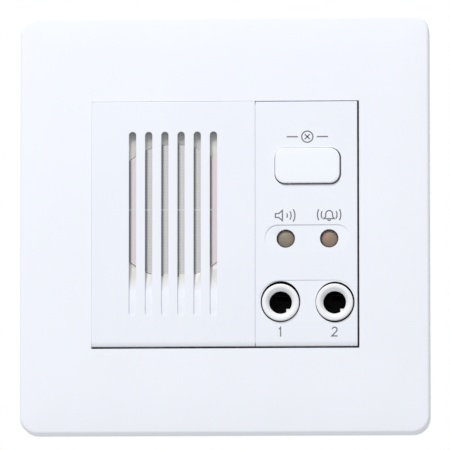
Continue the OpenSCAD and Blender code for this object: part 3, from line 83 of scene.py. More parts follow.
def middle(node):
    """Where a node's axis towards the wall meets the face: its X and Z."""
    low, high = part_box(node)
    return (low.x + high.x) / 2, (low.z + high.z) / 2


# ---------------------------------------------------------------- procedural finishes

FLOW_SIZE = mm(26)
GLOSS_PATCH = mm(3.5)
MOULD_GRAIN = mm(0.35)
MOULD_RELIEF = mm(0.02)
METAL_STAIN = mm(9)
METAL_GRAIN = mm(0.6)
METAL_RELIEF = mm(0.015)
CRYSTAL_SIZE = mm(3.2)
CLOTH_ROUGHNESS = 0.9
CLOTH_SHEEN = 0.3
FUZZ_SIZE = mm(0.25)
THREAD_RELIEF = mm(0.05)
TINT_FROM, TINT_TO = mm(8), mm(10.5)
WAVES_A_PITCH = 0.314
TRACK_CELL = mm(4.5)
TRACK_RELIEF = mm(0.03)
LENS_REACH = mm(2.75)
GLOW_REACH = mm(1.3)
WHITE = (0.865, 0.892, 0.955)
PANEL_WHITE = (0.845, 0.875, 0.940)
PRINT_GREY = (0.17, 0.175, 0.19)
# Painted shade: a darker colour for the panel's recesses, one darker still for the heads of its slots, and
# the depths and heights between which they are painted in.
RECESS_SHADE = (0.70, 0.69, 0.67)
SLOT_HEAD_SHADE = (0.34, 0.35, 0.345)
PANEL_RECESS_SHADE = (PANEL_FACE + mm(0.5), PANEL_FACE + mm(1.4), RECESS_SHADE, mm(22), mm(27), SLOT_HEAD_SHADE)
CLOTH_AXIS = middle("speaker_cloth")
TALK_AXIS = middle("talk_lamp")
CALL_AXIS = middle("call_lamp")


def shader_tree(name):
    """A new material: its tree, its shader and a socket with the piece's own coordinates."""
    material = bpy.data.materials.new(name)
    material.use_nodes = True
    tree = material.node_tree
    shader = tree.nodes["Principled BSDF"]
    place = tree.nodes.new("ShaderNodeTexCoord").outputs["Object"]
    return material, tree, shader, place


def node(tree, kind, inputs=None, **settings):
    """A new node. An input is another node's socket, which is linked, or a plain value."""
    made = tree.nodes.new(kind)
    for key, value in settings.items():
        setattr(made, key, value)
    for key, value in (inputs or {}).items():
        if isinstance(value, bpy.types.NodeSocket):
            tree.links.new(value, made.inputs[key])
        else:
            made.inputs[key].default_value = value
    return made


def stretched(tree, place, scale):
    """Coordinates stretched along one axis or another, for grain that has a direction."""
    return node(tree, "ShaderNodeMapping", {"Vector": place, "Scale": scale}).outputs["Vector"]


def noise(tree, place, size, detail=3.0):
    """Noise whose blotches are about size metres across."""
    return node(tree, "ShaderNodeTexNoise", {
        "Vector": place, "Scale": 1 / size, "Detail": detail, "Roughness": 0.55,
    }).outputs["Fac"]


def between(tree, value, low, high, start=0.3, end=0.7):
    """The value, which mostly lies from start to end, spread from low to high."""
    return node(tree, "ShaderNodeMapRange", {
        "Value": value, "From Min": start, "From Max": end, "To Min": low, "To Max": high,
    }).outputs["Result"]


def blended(tree, share, first, second):
    """A colour that goes from the first to the second with the share."""
    mix = tree.nodes.new("ShaderNodeMix")
    mix.data_type = "RGBA"
    tree.links.new(share, mix.inputs[0])
    for socket, colour in ((mix.inputs[6], first), (mix.inputs[7], second)):
        if isinstance(colour, bpy.types.NodeSocket):
            tree.links.new(colour, socket)
        else:
            socket.default_value = (*colour, 1)
    return mix.outputs[2]


def ball(tree, place, centre, radius):
    """From 1 on a line towards the wall down to 0 at a radius from it."""
    x, z = centre
    moved = node(tree, "ShaderNodeMapping", {
        "Vector": place, "Location": (-x / radius, 0, -z / radius),
        "Scale": (1 / radius, 0, 1 / radius),
    }).outputs["Vector"]
    return node(tree, "ShaderNodeTexGradient", {"Vector": moved}, gradient_type="SPHERICAL").outputs["Fac"]


def shaded(colour, factor):
    """The colour made darker by a factor below 1."""
    return tuple(c * factor for c in colour)


def bump(tree, shader, height, distance, strength):
    """Gives the shader a relief that is distance metres high."""
    made = node(tree, "ShaderNodeBump", {"Height": height, "Distance": distance, "Strength": strength})
    tree.links.new(made.outputs["Normal"], shader.inputs["Normal"])


def moulding(name, colour, roughness=0.38, texture=0.05, tone=0.985, recess=None):
    """Moulded plastic: a fine texture from the mould, faint flow marks, uneven gloss.

    A recess is a near and a far depth between which a darker colour is painted in as the shade of the
    recesses, and a low and a high place between which that painted shade turns darker still, as the shade in
    the heads of its slots.
    """
    material, tree, shader, place = shader_tree(name)
    flow = noise(tree, place, FLOW_SIZE, 2.0)
    grains = noise(tree, place, MOULD_GRAIN, 2.0)
    link = tree.links.new
    base = blended(tree, between(tree, flow, 0, 1), shaded(colour, tone), colour)
    # Painted shade: deeper places turn darker, and darker still towards the slots' heads.
    if recess:
        near, far, depth_shade, low, high, head_shade = recess
        axes = node(tree, "ShaderNodeSeparateXYZ", {"Vector": place}).outputs
        painted_shade = blended(tree, between(tree, axes["Z"], 0, 1, low, high), depth_shade, head_shade)
        base = blended(tree, between(tree, axes["Y"], 0, 1, near, far), base, painted_shade)
    link(base, shader.inputs["Base Color"])
    gloss = between(tree, noise(tree, place, GLOSS_PATCH), roughness - 0.05, roughness + 0.05)
    link(gloss, shader.inputs["Roughness"])
    bump(tree, shader, grains, MOULD_RELIEF, texture)
    return material


def metal(name, colour, roughness, brush, dark=0.86):
    """Rolled, drawn or plated metal, with its grain across the way it was worked."""
    material, tree, shader, place = shader_tree(name)
    shader.inputs["Metallic"].default_value = 1.0
    grain = noise(tree, stretched(tree, place, brush), METAL_GRAIN, 4.0)
    stain = noise(tree, place, METAL_STAIN, 3.0)
    link = tree.links.new
    tone = between(tree, stain, 0, 1)
    link(blended(tree, tone, shaded(colour, dark), colour), shader.inputs["Base Color"])
    link(between(tree, grain, roughness - 0.08, roughness + 0.1), shader.inputs["Roughness"])
    bump(tree, shader, grain, METAL_RELIEF, 0.12)
    return material


def zinc(name, colour):
    """Galvanised sheet: zinc crystals that each shine a little differently."""
    material, tree, shader, place = shader_tree(name)
    shader.inputs["Metallic"].default_value = 1.0
    crystal = node(tree, "ShaderNodeTexVoronoi", {"Vector": place, "Scale": 1 / CRYSTAL_SIZE}, feature="F1")
    shade = node(tree, "ShaderNodeSeparateColor", {"Color": crystal.outputs["Color"]}).outputs["Red"]
    link = tree.links.new
    link(blended(tree, shade, shaded(colour, 0.82), colour), shader.inputs["Base Color"])
    link(between(tree, shade, 0.3, 0.46, 0, 1), shader.inputs["Roughness"])
    bump(tree, shader, noise(tree, place, mm(0.8)), mm(0.01), 0.15)
    return material


def woven(name, colour, shadow, pitch, tint=None):
    """Cloth or pressed fibre: crossing threads, fuzz, and another tone at its left and right."""
    material, tree, shader, place = shader_tree(name)
    rows = []
    for direction in ("X", "Z"):
        wave = node(tree, "ShaderNodeTexWave", {
            "Vector": place, "Scale": WAVES_A_PITCH / mm(pitch), "Distortion": 0.6, "Detail": 1.0,
        }, wave_type="BANDS", bands_direction=direction)
        rows.append(wave.outputs["Fac"])
    weave = node(tree, "ShaderNodeMath", {0: rows[0], 1: rows[1]}, operation="MULTIPLY").outputs[0]
    fuzz = noise(tree, place, FUZZ_SIZE, 4.0)
    link = tree.links.new
    base = blended(tree, between(tree, weave, 0, 1, 0, 0.6), shadow, colour)
    if tint:
        across = node(tree, "ShaderNodeSeparateXYZ", {"Vector": place}).outputs["X"]
        aside = node(tree, "ShaderNodeMath", {0: across, 1: CLOTH_AXIS[0]}, operation="SUBTRACT")
        away = node(tree, "ShaderNodeMath", {0: aside.outputs[0]}, operation="ABSOLUTE").outputs[0]
        base = blended(tree, between(tree, away, 0, 1, TINT_FROM, TINT_TO), base, tint)
    link(base, shader.inputs["Base Color"])
    link(between(tree, fuzz, CLOTH_ROUGHNESS - 0.08, CLOTH_ROUGHNESS + 0.08), shader.inputs["Roughness"])
    shader.inputs["Sheen Weight"].default_value = CLOTH_SHEEN
    bump(tree, shader, weave, THREAD_RELIEF, 0.5)
    return material


def laminate(name, colour, stripe):
    """Circuit board: solder mask over copper that runs in straight tracks."""
    material, tree, shader, place = shader_tree(name)
    cells = node(tree, "ShaderNodeTexVoronoi", {"Vector": place, "Scale": 1 / TRACK_CELL},
                 feature="DISTANCE_TO_EDGE")
    tracks = between(tree, cells.outputs["Distance"], 1, 0, 0.06, 0.09)
    link = tree.links.new
    link(blended(tree, tracks, colour, stripe), shader.inputs["Base Color"])
    link(between(tree, noise(tree, place, mm(2)), 0.22, 0.34), shader.inputs["Roughness"])
    bump(tree, shader, tracks, TRACK_RELIEF, 0.4)
    return material


def diffused_lens(name, colour, rim, glow, glow_place, centre):
    """Lamp body of tinted, clouded resin: darker at its rim, with the cup behind it showing."""
    material, tree, shader, place = shader_tree(name)
    link = tree.links.new
    x, z = centre
    body = ball(tree, place, centre, LENS_REACH)
    tone = blended(tree, between(tree, body, 0, 1, 0.19, 0.27), rim, colour)
    cloud = between(tree, noise(tree, place, mm(1.1), 3.0), 0, 1)
    tone = blended(tree, cloud, tone, shaded(colour, 0.9))
    spot = ball(tree, place, (x + mm(glow_place[0]), z + mm(glow_place[1])), GLOW_REACH)
    tone = blended(tree, between(tree, spot, 0, 0.8, 0.1, 0.8), tone, glow)
    link(tone, shader.inputs["Base Color"])
    link(between(tree, noise(tree, place, mm(0.9)), 0.5, 0.6), shader.inputs["Roughness"])
    shader.inputs["Specular IOR Level"].default_value = 0.25
    shader.inputs["Subsurface Weight"].default_value = 0.15
    shader.inputs["Subsurface Radius"].default_value = (mm(0.5), mm(0.4), mm(0.3))
    bump(tree, shader, cloud, mm(0.01), 0.1)
    return material


FINISHES = {
    "plate_plastic": moulding("plate_plastic", WHITE, 0.36),
    "frame_plastic": moulding("frame_plastic", (0.74, 0.74, 0.71), 0.5),
    "panel_plastic": moulding("panel_plastic", PANEL_WHITE, 0.4, 0.08, recess=PANEL_RECESS_SHADE),
    "button_plastic": moulding("button_plastic", (0.875, 0.905, 0.965), 0.42, 0.03, 0.995),
    "case_plastic": moulding("case_plastic", (0.56, 0.56, 0.54), 0.52, 0.15),
    "jack_plastic": moulding("jack_plastic", (0.875, 0.885, 0.91), 0.34, 0.04),
    "talk_lamp_lens": diffused_lens(
        "talk_lamp_lens", (0.275, 0.245, 0.195), (0.085, 0.075, 0.062), (0.31, 0.25, 0.17),
        (0.7, -0.7), TALK_AXIS),
    "call_lamp_lens": diffused_lens(
        "call_lamp_lens", (0.31, 0.235, 0.19), (0.10, 0.075, 0.07), (0.40, 0.235, 0.13),
        (-0.5, 0.1), CALL_AXIS),
    "zinc_steel": zinc("zinc_steel", (0.66, 0.67, 0.69)),
    "screw_steel": metal("screw_steel", (0.62, 0.63, 0.65), 0.28, (1, 1, 1)),
    "speaker_cloth": woven("speaker_cloth", (0.74, 0.73, 0.735), (0.56, 0.55, 0.55), 0.42,
                           tint=(0.735, 0.655, 0.68)),
    "gasket_foam": moulding("gasket_foam", (0.02, 0.02, 0.02), 0.9, 0.8),
    "basket_steel": metal("basket_steel", (0.2, 0.21, 0.23), 0.42, (1, 1, 1)),
    "surround_rubber": moulding("surround_rubber", (0.012, 0.012, 0.012), 0.7, 0.3),
    "cone_paper": woven("cone_paper", (0.018, 0.019, 0.02), (0.01, 0.01, 0.011), 0.4),
    "spider_cloth": woven("spider_cloth", (0.42, 0.26, 0.07), (0.2, 0.12, 0.03), 0.5),
    "coil_wire": metal("coil_wire", (0.72, 0.33, 0.16), 0.3, (1, 40, 1)),
    "pole_steel": metal("pole_steel", (0.52, 0.53, 0.55), 0.3, (1, 1, 20)),
    "ferrite": moulding("ferrite", (0.018, 0.018, 0.02), 0.62, 0.5),
    "strip_laminate": laminate("strip_laminate", (0.2, 0.09, 0.03), (0.32, 0.16, 0.06)),
    "lead_insulation": moulding("lead_insulation", (0.42, 0.02, 0.015), 0.4),
    "spring_steel": metal("spring_steel", (0.6, 0.6, 0.61), 0.25, (1, 1, 1)),
    "tinned_wire": metal("tinned_wire", (0.7, 0.7, 0.69), 0.22, (1, 1, 1)),
    "contact_silver": metal("contact_silver", (0.2, 0.19, 0.175), 0.55, (1, 30, 1), 0.8),
    "black_plastic": moulding("black_plastic", (0.012, 0.012, 0.013), 0.45, 0.2),
    "plunger_plastic": moulding("plunger_plastic", (0.7, 0.66, 0.52), 0.4),
    "spacer_plastic": moulding("spacer_plastic", (0.7, 0.7, 0.64), 0.5),
    "board_laminate": laminate("board_laminate", (0.01, 0.09, 0.03), (0.03, 0.19, 0.07)),
    "ribbon_plastic": moulding("ribbon_plastic", (0.22, 0.225, 0.24), 0.5),
    "core_steel": metal("core_steel", (0.12, 0.12, 0.125), 0.5, (1, 1, 40)),
    "winding_tape": moulding("winding_tape", (0.55, 0.3, 0.03), 0.3),
    "relay_plastic": moulding("relay_plastic", (0.012, 0.055, 0.28), 0.3),
    "capacitor_sleeve": moulding("capacitor_sleeve", (0.008, 0.01, 0.03), 0.25),
    "terminal_plastic": moulding("terminal_plastic", (0.02, 0.16, 0.05), 0.4, 0.1),
}
LINER_BLACK = moulding("liner_black", (0.02, 0.019, 0.02), 0.4, 0.1)
# Painted shadow: the dark of the wires that stand for the shadow along the slots' left edges.
SHADOW_PAINT = moulding("slot_shadow_paint", (0.27, 0.27, 0.265), 0.55, 0.2)
LUG_SILVER = metal("lug_silver", (0.88, 0.88, 0.89), 0.32, (1, 30, 1), 0.94)
PRINT_INK = moulding("print_ink", PRINT_GREY, 0.55, 0.1, 0.9)

SLOT_OF = {part["node"]: part["material_slot"] for part in frame["record"]["subparts"]}


def dress_node(name):
    """Gives a CAD node the finish of its slot."""
    mesh = frame["nodes"][name].data
    mesh.materials.clear()
    mesh.materials.append(FINISHES[SLOT_OF[name]])


# ---------------------------------------------------------------- mesh helpers

SHARP_ANGLE = math.radians(50)
SOFTENED_ANGLE = math.radians(35)
FLAT_ANGLE = math.radians(0.5)
DOUBLED = mm(0.002)
CORNER_STEPS = 10
OFF_AXIS = Vector((0.3, 0.2, 1))


def piece(name, bm, nodes, materials=None, body=STATION, slot=None):
    """Turns a bmesh into a piece that rides on its body and stands for CAD nodes."""
    bmesh.ops.recalc_face_normals(bm, faces=bm.faces)
    mesh = bpy.data.meshes.new(name)
    bm.to_mesh(mesh)
    bm.free()
    mesh.polygons.foreach_set("use_smooth", [True] * len(mesh.polygons))
    mesh.set_sharp_from_angle(angle=SHARP_ANGLE)
    slot = slot or SLOT_OF[nodes[0]]
    for material in materials or [FINISHES[slot]]:
        mesh.materials.append(material)
    made = bpy.data.objects.new(name, mesh)
    bpy.context.scene.collection.objects.link(made)
    normals = made.modifiers.new("weighted_normals", "WEIGHTED_NORMAL")
    normals.keep_sharp = True
    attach(made, body)
    if nodes:
        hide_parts(*nodes)
    return made


def rounded_loop(centre, width, height, radius, y):
    """Points round an upright rectangle with round corners, at one depth."""
    x, z = centre
    points = []
    for side, end, first in ((1, -1, -90), (1, 1, 0), (-1, 1, 90), (-1, -1, 180)):
        for i in range(CORNER_STEPS + 1):
            a = math.radians(first + 90 * i / CORNER_STEPS)
            points.append(Vector((
                x + side * (width / 2 - radius) + radius * math.cos(a), y,
                z + end * (height / 2 - radius) + radius * math.sin(a))))
    return points


def loft(bm, loops, cap_first=True, cap_last=True, closed=False):
    """Skins a row of loops that have as many points as each other."""
    rings = [[bm.verts.new(p) for p in loop] for loop in loops]
    pairs = list(zip(rings, rings[1:]))
    if closed:
        pairs.append((rings[-1], rings[0]))
    for a, b in pairs:
        for i in range(len(a)):
            j = (i + 1) % len(a)
            bm.faces.new((a[i], a[j], b[j], b[i]))
    if cap_first:
        bm.faces.new(rings[0])
    if cap_last:
        bm.faces.new(rings[-1])


def lathe(bm, centre, profile, closed=True, steps=96):
    """Turns a profile of (radius, depth) pairs about a line towards the wall."""
    x, z = centre
    loops = []
    for radius, y in profile:
        loops.append([Vector((x + radius * math.cos(2 * math.pi * i / steps), y,
                              z + radius * math.sin(2 * math.pi * i / steps))) for i in range(steps)])
    loft(bm, loops, cap_first=not closed, cap_last=not closed, closed=closed)


def tube_along(bm, points, radius, sides):
    """A round wire along points."""
    loops = []
    last = len(points) - 1
    side_way = None
    for i, p in enumerate(points):
        way = (points[min(i + 1, last)] - points[max(i - 1, 0)]).normalized()
        if side_way is None:
            side_way = way.cross(OFF_AXIS).normalized()
        side_way = (side_way - way * side_way.dot(way)).normalized()
        up = way.cross(side_way)
        loops.append([p + radius * (math.cos(2 * math.pi * k / sides) * side_way
                                    + math.sin(2 * math.pi * k / sides) * up) for k in range(sides)])
    loft(bm, loops)


def fillet(radius_at, y_at, radius, first, last, steps=5):
    """Points of an arc in a profile, about (radius_at, y_at), from one angle to another."""
    points = []
    for i in range(steps + 1):
        a = math.radians(first + (last - first) * i / steps)
        points.append((radius_at + radius * math.cos(a), y_at + radius * math.sin(a)))
    return points


def cad_copy(name):
    """The mesh of a CAD node with its doubled points joined and its flat faces whole."""
    bm = bmesh.new()
    bm.from_mesh(frame["nodes"][name].data)
    bmesh.ops.remove_doubles(bm, verts=bm.verts, dist=DOUBLED)
    bmesh.ops.dissolve_limit(bm, angle_limit=FLAT_ANGLE, verts=bm.verts, edges=bm.edges)
    return bm


def soften(bm, width, chosen=lambda edge: True, segments=2):
    """Rounds the sharp edges of a mesh, or those of them that are chosen."""
    edges = [e for e in bm.edges
             if len(e.link_faces) == 2 and e.calc_face_angle() > SOFTENED_ANGLE and chosen(e)]
    bmesh.ops.bevel(bm, geom=edges, offset=width, segments=segments, profile=0.5,
                    affect="EDGES", clamp_overlap=True)


def softened(name, width):
    """A CAD node's piece with its sharp edges rounded."""
    bm = cad_copy(name)
    soften(bm, width)
    return piece(f"{name}_softened", bm, [name])


# ---------------------------------------------------------------- cover plate

PLATE_CORNER = mm(5)
PLATE_LEAST_CORNER = mm(2.2)
PLATE_WALL = mm(2)
PLATE_BORDER = mm(11)
PLATE_DROP = mm(0.3)
PLATE_EDGE = mm(0.95)
CROWN_STEPS, EDGE_STEPS = 12, 6
GAP_LEFT, GAP_TOP = mm(0.02), mm(0.3)
GAP_RIGHT, GAP_FOOT = mm(0.43), mm(0.6)
COLLAR_WALL = mm(1.2)
COLLAR_DEPTH = mm(3.4)
MOUTH_CORNER = mm(0.12)
MOUTH_EDGE_NEAR = mm(0.08)
MOUTH_EDGE_FAR = mm(0.12)
MOUTH_EDGE_DEPTH = mm(0.25)
MOUTH_EDGE_STEPS = 5
HOOK_ARM = mm(1.2)
HOOK_WIDTH = mm(8)
HOOK_HEIGHT = mm(30)
HOOK_REACH = mm(0.7)
HOOK_GAP = mm(0.1)
HOOK_TOOTH = mm(1.2)
HOOK_CORNER = mm(0.15)


def crown(depth, inset):
    """The plate's section from its flat middle to its side: pairs of inset and depth."""
    slope = math.atan(2 * PLATE_DROP / PLATE_BORDER)
    crown_end = PLATE_EDGE - PLATE_EDGE * math.sin(slope)
    edge_y = depth - PLATE_DROP - PLATE_EDGE * math.cos(slope)
    pairs = []
    for i in range(CROWN_STEPS + 1):
        share = i / CROWN_STEPS
        pairs.append((crown_end + PLATE_BORDER * (1 - share), depth - PLATE_DROP * share ** 2))
    for i in range(1, EDGE_STEPS + 1):
        a = (math.pi / 2 - slope) * (1 - i / EDGE_STEPS)
        pairs.append((PLATE_EDGE - PLATE_EDGE * math.cos(a), edge_y + PLATE_EDGE * math.sin(a)))
    return [(inset + i, -y) for i, y in pairs]


def plate_hooks(bm, under):
    """Four hooks that grip behind the carrier's sides: an arm from the plate and a tooth."""
    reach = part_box("plate_frame")[1].x
    arm = (HOOK_GAP * 2, HOOK_GAP * 2 + HOOK_ARM)
    tooth = (-HOOK_REACH, arm[1])
    for side in (-1, 1):
        for end in (-1, 1):
            for (near, far), front in ((arm, under), (tooth, -HOOK_TOOTH + HOOK_GAP)):
                centre = (side * reach + side * (near + far) / 2, end * HOOK_HEIGHT)
                loft(bm, [rounded_loop(centre, far - near, HOOK_WIDTH, HOOK_CORNER, y)
                          for y in (front, -HOOK_GAP)])


def face_plate():
    """The cover plate: a crowned shell with a collar round its mouth and four hooks behind."""
    width, height = PLATE_HI.x - PLATE_LO.x, PLATE_HI.z - PLATE_LO.z
    depth = PLATE_HI.y - PLATE_LO.y
    left, right = SPEAKER_LO.x - GAP_LEFT, CONTROL_HI.x + GAP_RIGHT
    foot, head = SPEAKER_LO.z - GAP_FOOT, SPEAKER_HI.z + GAP_TOP

    def mouth_loop(near, far, y):
        """Round the opening, grown by near at its left and top and by far at its right and foot."""
        centre = ((left + right + far - near) / 2, (foot + head + near - far) / 2)
        grown = near + far
        radius = MOUTH_CORNER + grown / 6
        return rounded_loop(centre, right - left + grown, head - foot + grown, radius, y)

    def plate_loop(inset, y):
        radius = max(PLATE_CORNER - inset, PLATE_LEAST_CORNER)
        return rounded_loop((0, 0), width - 2 * inset, height - 2 * inset, radius, y)

    collar_back = -(depth - COLLAR_DEPTH)
    under = -(depth - PLATE_WALL)
    outer = crown(depth, 0)
    inner = crown(depth - PLATE_WALL, PLATE_WALL)
    walls = (COLLAR_WALL, COLLAR_WALL)
    loops = [mouth_loop(0, 0, collar_back), mouth_loop(*walls, collar_back), mouth_loop(*walls, under)]
    loops += [plate_loop(i, y) for i, y in inner]
    loops += [plate_loop(PLATE_WALL, 0), plate_loop(0, 0)]
    loops += [plate_loop(i, y) for i, y in reversed(outer)]
    for i in range(MOUTH_EDGE_STEPS + 1):
        a = math.radians(90 * i / MOUTH_EDGE_STEPS)
        out, down = 1 - math.sin(a), 1 - math.cos(a)
        loops.append(mouth_loop(MOUTH_EDGE_NEAR * out, MOUTH_EDGE_FAR * out, MOUTH_EDGE_DEPTH * down - depth))
    bm = bmesh.new()
    loft(bm, loops, False, False, closed=True)
    plate_hooks(bm, under)
    return piece("cover_plate", bm, ["face_plate"])


# ---------------------------------------------------------------- panels

ON_OUTLINE = mm(0.01)
ON_FACE = mm(0.001)
NEAR = mm(0.02)
BORDER = mm(0.5)
OUTLINE_ROUND = mm(0.18)
FACE_ROUND = mm(0.06)
SPEAKER_HEAD_UP = mm(0.2)
CONTROL_HEAD_UP = mm(0.05)
CONTROL_SIDE_IN = mm(0.08)
SLOT_HEAD_UP = mm(0.3)
SLOTS_LEFT = mm(0.12)
SLOT_HEAD_Z = mm(25)
SLOT_REACH = mm(27)
SLOT_DEPTH = mm(1.8)
RIB_UP = mm(0.8)
RIB_HALF = mm(0.25)
RIB_SETBACK = mm(0.6)
RIB_SINK = mm(1.08)
RIB_DOWN = mm(0.45)


def on_outline(low, high):
    """Chooses the edges that lie on the front outline of a panel."""
    def outside(v):
        return any(abs(at - side) < ON_OUTLINE for at, side in (
            (v.co.x, low.x), (v.co.x, high.x), (v.co.z, low.z), (v.co.z, high.z)))

    return lambda edge: all(outside(v) for v in edge.verts)


def on_face(edge):
    return all(v.co.y < PANEL_FACE + ON_FACE for v in edge.verts)


def panel(name, low, high, head_up):
    """A panel's mesh with rounded edges and its head as near the plate as the photo shows."""
    bm = cad_copy(name)
    soften(bm, OUTLINE_ROUND, on_outline(low, high), segments=3)
    soften(bm, FACE_ROUND, on_face)
    for v in bm.verts:
        if v.co.z > high.z - BORDER:
            v.co.z += head_up
    return bm


def speaker_panel():
    """The speaker panel, its slots' heads a little longer and its cross rib low on the cloth."""
    bm = panel("speaker_panel", SPEAKER_LO, SPEAKER_HI, SPEAKER_HEAD_UP)
    x, z = middle("speaker_cloth")
    rib_z = z + RIB_UP
    for v in bm.verts:
        in_slots = v.co.y < PANEL_FACE + SLOT_DEPTH + NEAR
        if in_slots and max(abs(v.co.z), abs(v.co.x - x)) < SLOT_REACH:
            v.co.x -= SLOTS_LEFT
        if in_slots and SLOT_HEAD_Z < v.co.z < SLOT_REACH:
            v.co.z += SLOT_HEAD_UP
        elif abs(v.co.z - rib_z) < RIB_HALF + NEAR and v.co.y > PANEL_FACE + RIB_SETBACK - NEAR:
            v.co.z -= RIB_DOWN
            if v.co.y < PANEL_FACE + RIB_SETBACK + NEAR:
                v.co.y += RIB_SINK
    return piece("speaker_moulding", bm, ["speaker_panel"])


FIELD_RIGHT_RISE = 0.35
FIELD_LEAST_DEPTH = 0.04
FIELD_MARGIN = 0.01
LAMP_FIELD, LAMP_FIELD_DEPTH = (mm(24.2), mm(8)), mm(0.3)
JACK_FIELD, JACK_FIELD_DEPTH = (mm(27.8), mm(12.4)), mm(0.2)
SOCKET_HOLE = mm(5.85)
SOCKET_HOLES_SHOWN = ((mm(5.67), mm(5.93)), (mm(5.58), mm(5.86)))
HOLE_SHIFTS = ((mm(-0.02), mm(0.08)), (mm(0.13), mm(-0.11)))
HOLE_EDGE = mm(0.15)
BUTTON_SHIFT = Vector((mm(0.14), 0, mm(-0.15)))
BUTTON_GAP = mm(0.3)
SEAM_PLAY = mm(0.005)
SEAM_DEPTH = mm(0.03)
SEAM_CORNER = mm(0.02)
TONGUE_DEPTH = mm(1)
TONGUE_SHORT = mm(1.5)


def tilt_field(bm, depth, centre, size):
    """Tilts the floor of a shallow field, so that only its upper left edge is a step."""
    for v in bm.verts:
        right, up = ((p - c) / s + 0.5 for p, c, s in zip((v.co.x, v.co.z), centre, size))
        within = all(-FIELD_MARGIN < share < 1 + FIELD_MARGIN for share in (right, up))
        if within and abs(v.co.y - PANEL_FACE - depth) < ON_OUTLINE:
            v.co.y = PANEL_FACE + depth * max(FIELD_LEAST_DEPTH, up - FIELD_RIGHT_RISE * right)


def control_panel():
    """The control panel, its holes a little off what stands in them and a tongue in the seam."""
    bm = panel("control_panel", CONTROL_LO, CONTROL_HI, CONTROL_HEAD_UP)
    for v in bm.verts:
        if v.co.x > CONTROL_HI.x - BORDER:
            v.co.x -= CONTROL_SIDE_IN
    x, z = middle("cancel_button")
    low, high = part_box("cancel_button")
    half_w = (high.x - low.x) / 2 - BUTTON_FLANGE + BUTTON_GAP
    half_h = (high.z - low.z) / 2 - BUTTON_FLANGE + BUTTON_GAP
    for v in bm.verts:
        if abs(v.co.x - x) < half_w + HOLE_EDGE and abs(v.co.z - z) < half_h + HOLE_EDGE:
            v.co += BUTTON_SHIFT
    left, right = middle("left_jack_body"), middle("right_jack_body")
    for (x, z), (shift_right, shift_up), shown in zip((left, right), HOLE_SHIFTS, SOCKET_HOLES_SHOWN):
        for v in bm.verts:
            out = Vector((v.co.x - x, 0, v.co.z - z))
            if abs(out.length - SOCKET_HOLE) < HOLE_EDGE:
                wider, taller = (size / SOCKET_HOLE for size in shown)
                v.co.x += out.x * (wider - 1) + shift_right
                v.co.z += out.z * (taller - 1) + shift_up
    tilt_field(bm, LAMP_FIELD_DEPTH, ((TALK_AXIS[0] + CALL_AXIS[0]) / 2, TALK_AXIS[1]), LAMP_FIELD)
    tilt_field(bm, JACK_FIELD_DEPTH, ((left[0] + right[0]) / 2, left[1]), JACK_FIELD)
    seam = (SPEAKER_HI.x + CONTROL_LO.x) / 2
    width = CONTROL_LO.x - SPEAKER_HI.x - 2 * SEAM_PLAY
    height = CONTROL_HI.z - CONTROL_LO.z - TONGUE_SHORT
    loft(bm, [rounded_loop((seam, 0), width, height, SEAM_CORNER, PANEL_FACE + y)
              for y in (SEAM_DEPTH, SEAM_DEPTH + TONGUE_DEPTH)])
    return piece("control_moulding", bm, ["control_panel"])


# ---------------------------------------------------------------- loudspeaker cloth

CLOTH_PITCH = mm(0.42)
CLOTH_SAMPLES = 4
CLOTH_RELIEF = mm(0.06)
THREAD_WAVE = 0.8


def thread_height(u, v):
    """Height of a plain weave at (u, v), counted in threads: the higher thread shows."""
    def thread(across, along, turn):
        column = math.floor(across)
        round_top = math.sqrt(max(0.0, 1 - (2 * (across - column) - 1) ** 2))
        wave = math.cos(math.pi * (along - 0.5)) * (1 if (column + turn) % 2 else -1)
        return 0.5 * round_top * (1 + THREAD_WAVE * wave)

    return max(thread(u, v, 0), thread(v, u, 1))


def speaker_cloth():
    """A round of cloth woven in its mesh, with a plain rim that the gasket holds."""
    low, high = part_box("speaker_cloth")
    x, z = middle("speaker_cloth")
    radius = (high.x - low.x) / 2
    step = CLOTH_PITCH / CLOTH_SAMPLES
    count = int(radius / step)
    bm = bmesh.new()
    rows = {}
    for i in range(-count, count + 1):
        for j in range(-count, count + 1):
            if math.hypot(i * step, j * step) < radius - step:
                lift = thread_height(i / CLOTH_SAMPLES + 0.5, j / CLOTH_SAMPLES + 0.5)
                rows[i, j] = bm.verts.new((x + i * step, low.y + CLOTH_RELIEF * (1 - lift), z + j * step))
    for (i, j), vert in rows.items():
        others = [rows.get(k) for k in ((i + 1, j), (i + 1, j + 1), (i, j + 1))]
        if all(others):
            bm.faces.new((vert, *others))
    bmesh.ops.delete(bm, geom=[v for v in bm.verts if not v.link_faces], context="VERTS")
    for y in (low.y + CLOTH_RELIEF / 2, high.y):
        rim = [e for e in bm.edges if len(e.link_faces) == 1]
        grown = bmesh.ops.extrude_edge_only(bm, edges=rim)["geom"]
        for vert in (g for g in grown if isinstance(g, bmesh.types.BMVert)):
            out = Vector((vert.co.x - x, 0, vert.co.z - z)).normalized() * radius
            vert.co = Vector((x + out.x, y, z + out.z))
    bmesh.ops.holes_fill(bm, edges=[e for e in bm.edges if len(e.link_faces) == 1], sides=0)
    cloth = piece("grille_cloth", bm, ["speaker_cloth"])
    return cloth


# Painted shadow: dark wires along each slot's left edge, where the edge's shadow falls on the cloth.
SHADOW_WIRES = tuple(mm(radius) for radius in (0.26, 0.26, 0.25, 0.19, 0.22, 0.22))
SLOT_PITCH = mm(4.63)
SLOT_HALF = mm(1.03)
SHADOW_WIRE_LIFT = 0.8
SHADOW_WIRE_SHORT = mm(0.2)
SHADOW_WIRE_POINTS = 9
SHADOW_WIRE_SIDES = 12


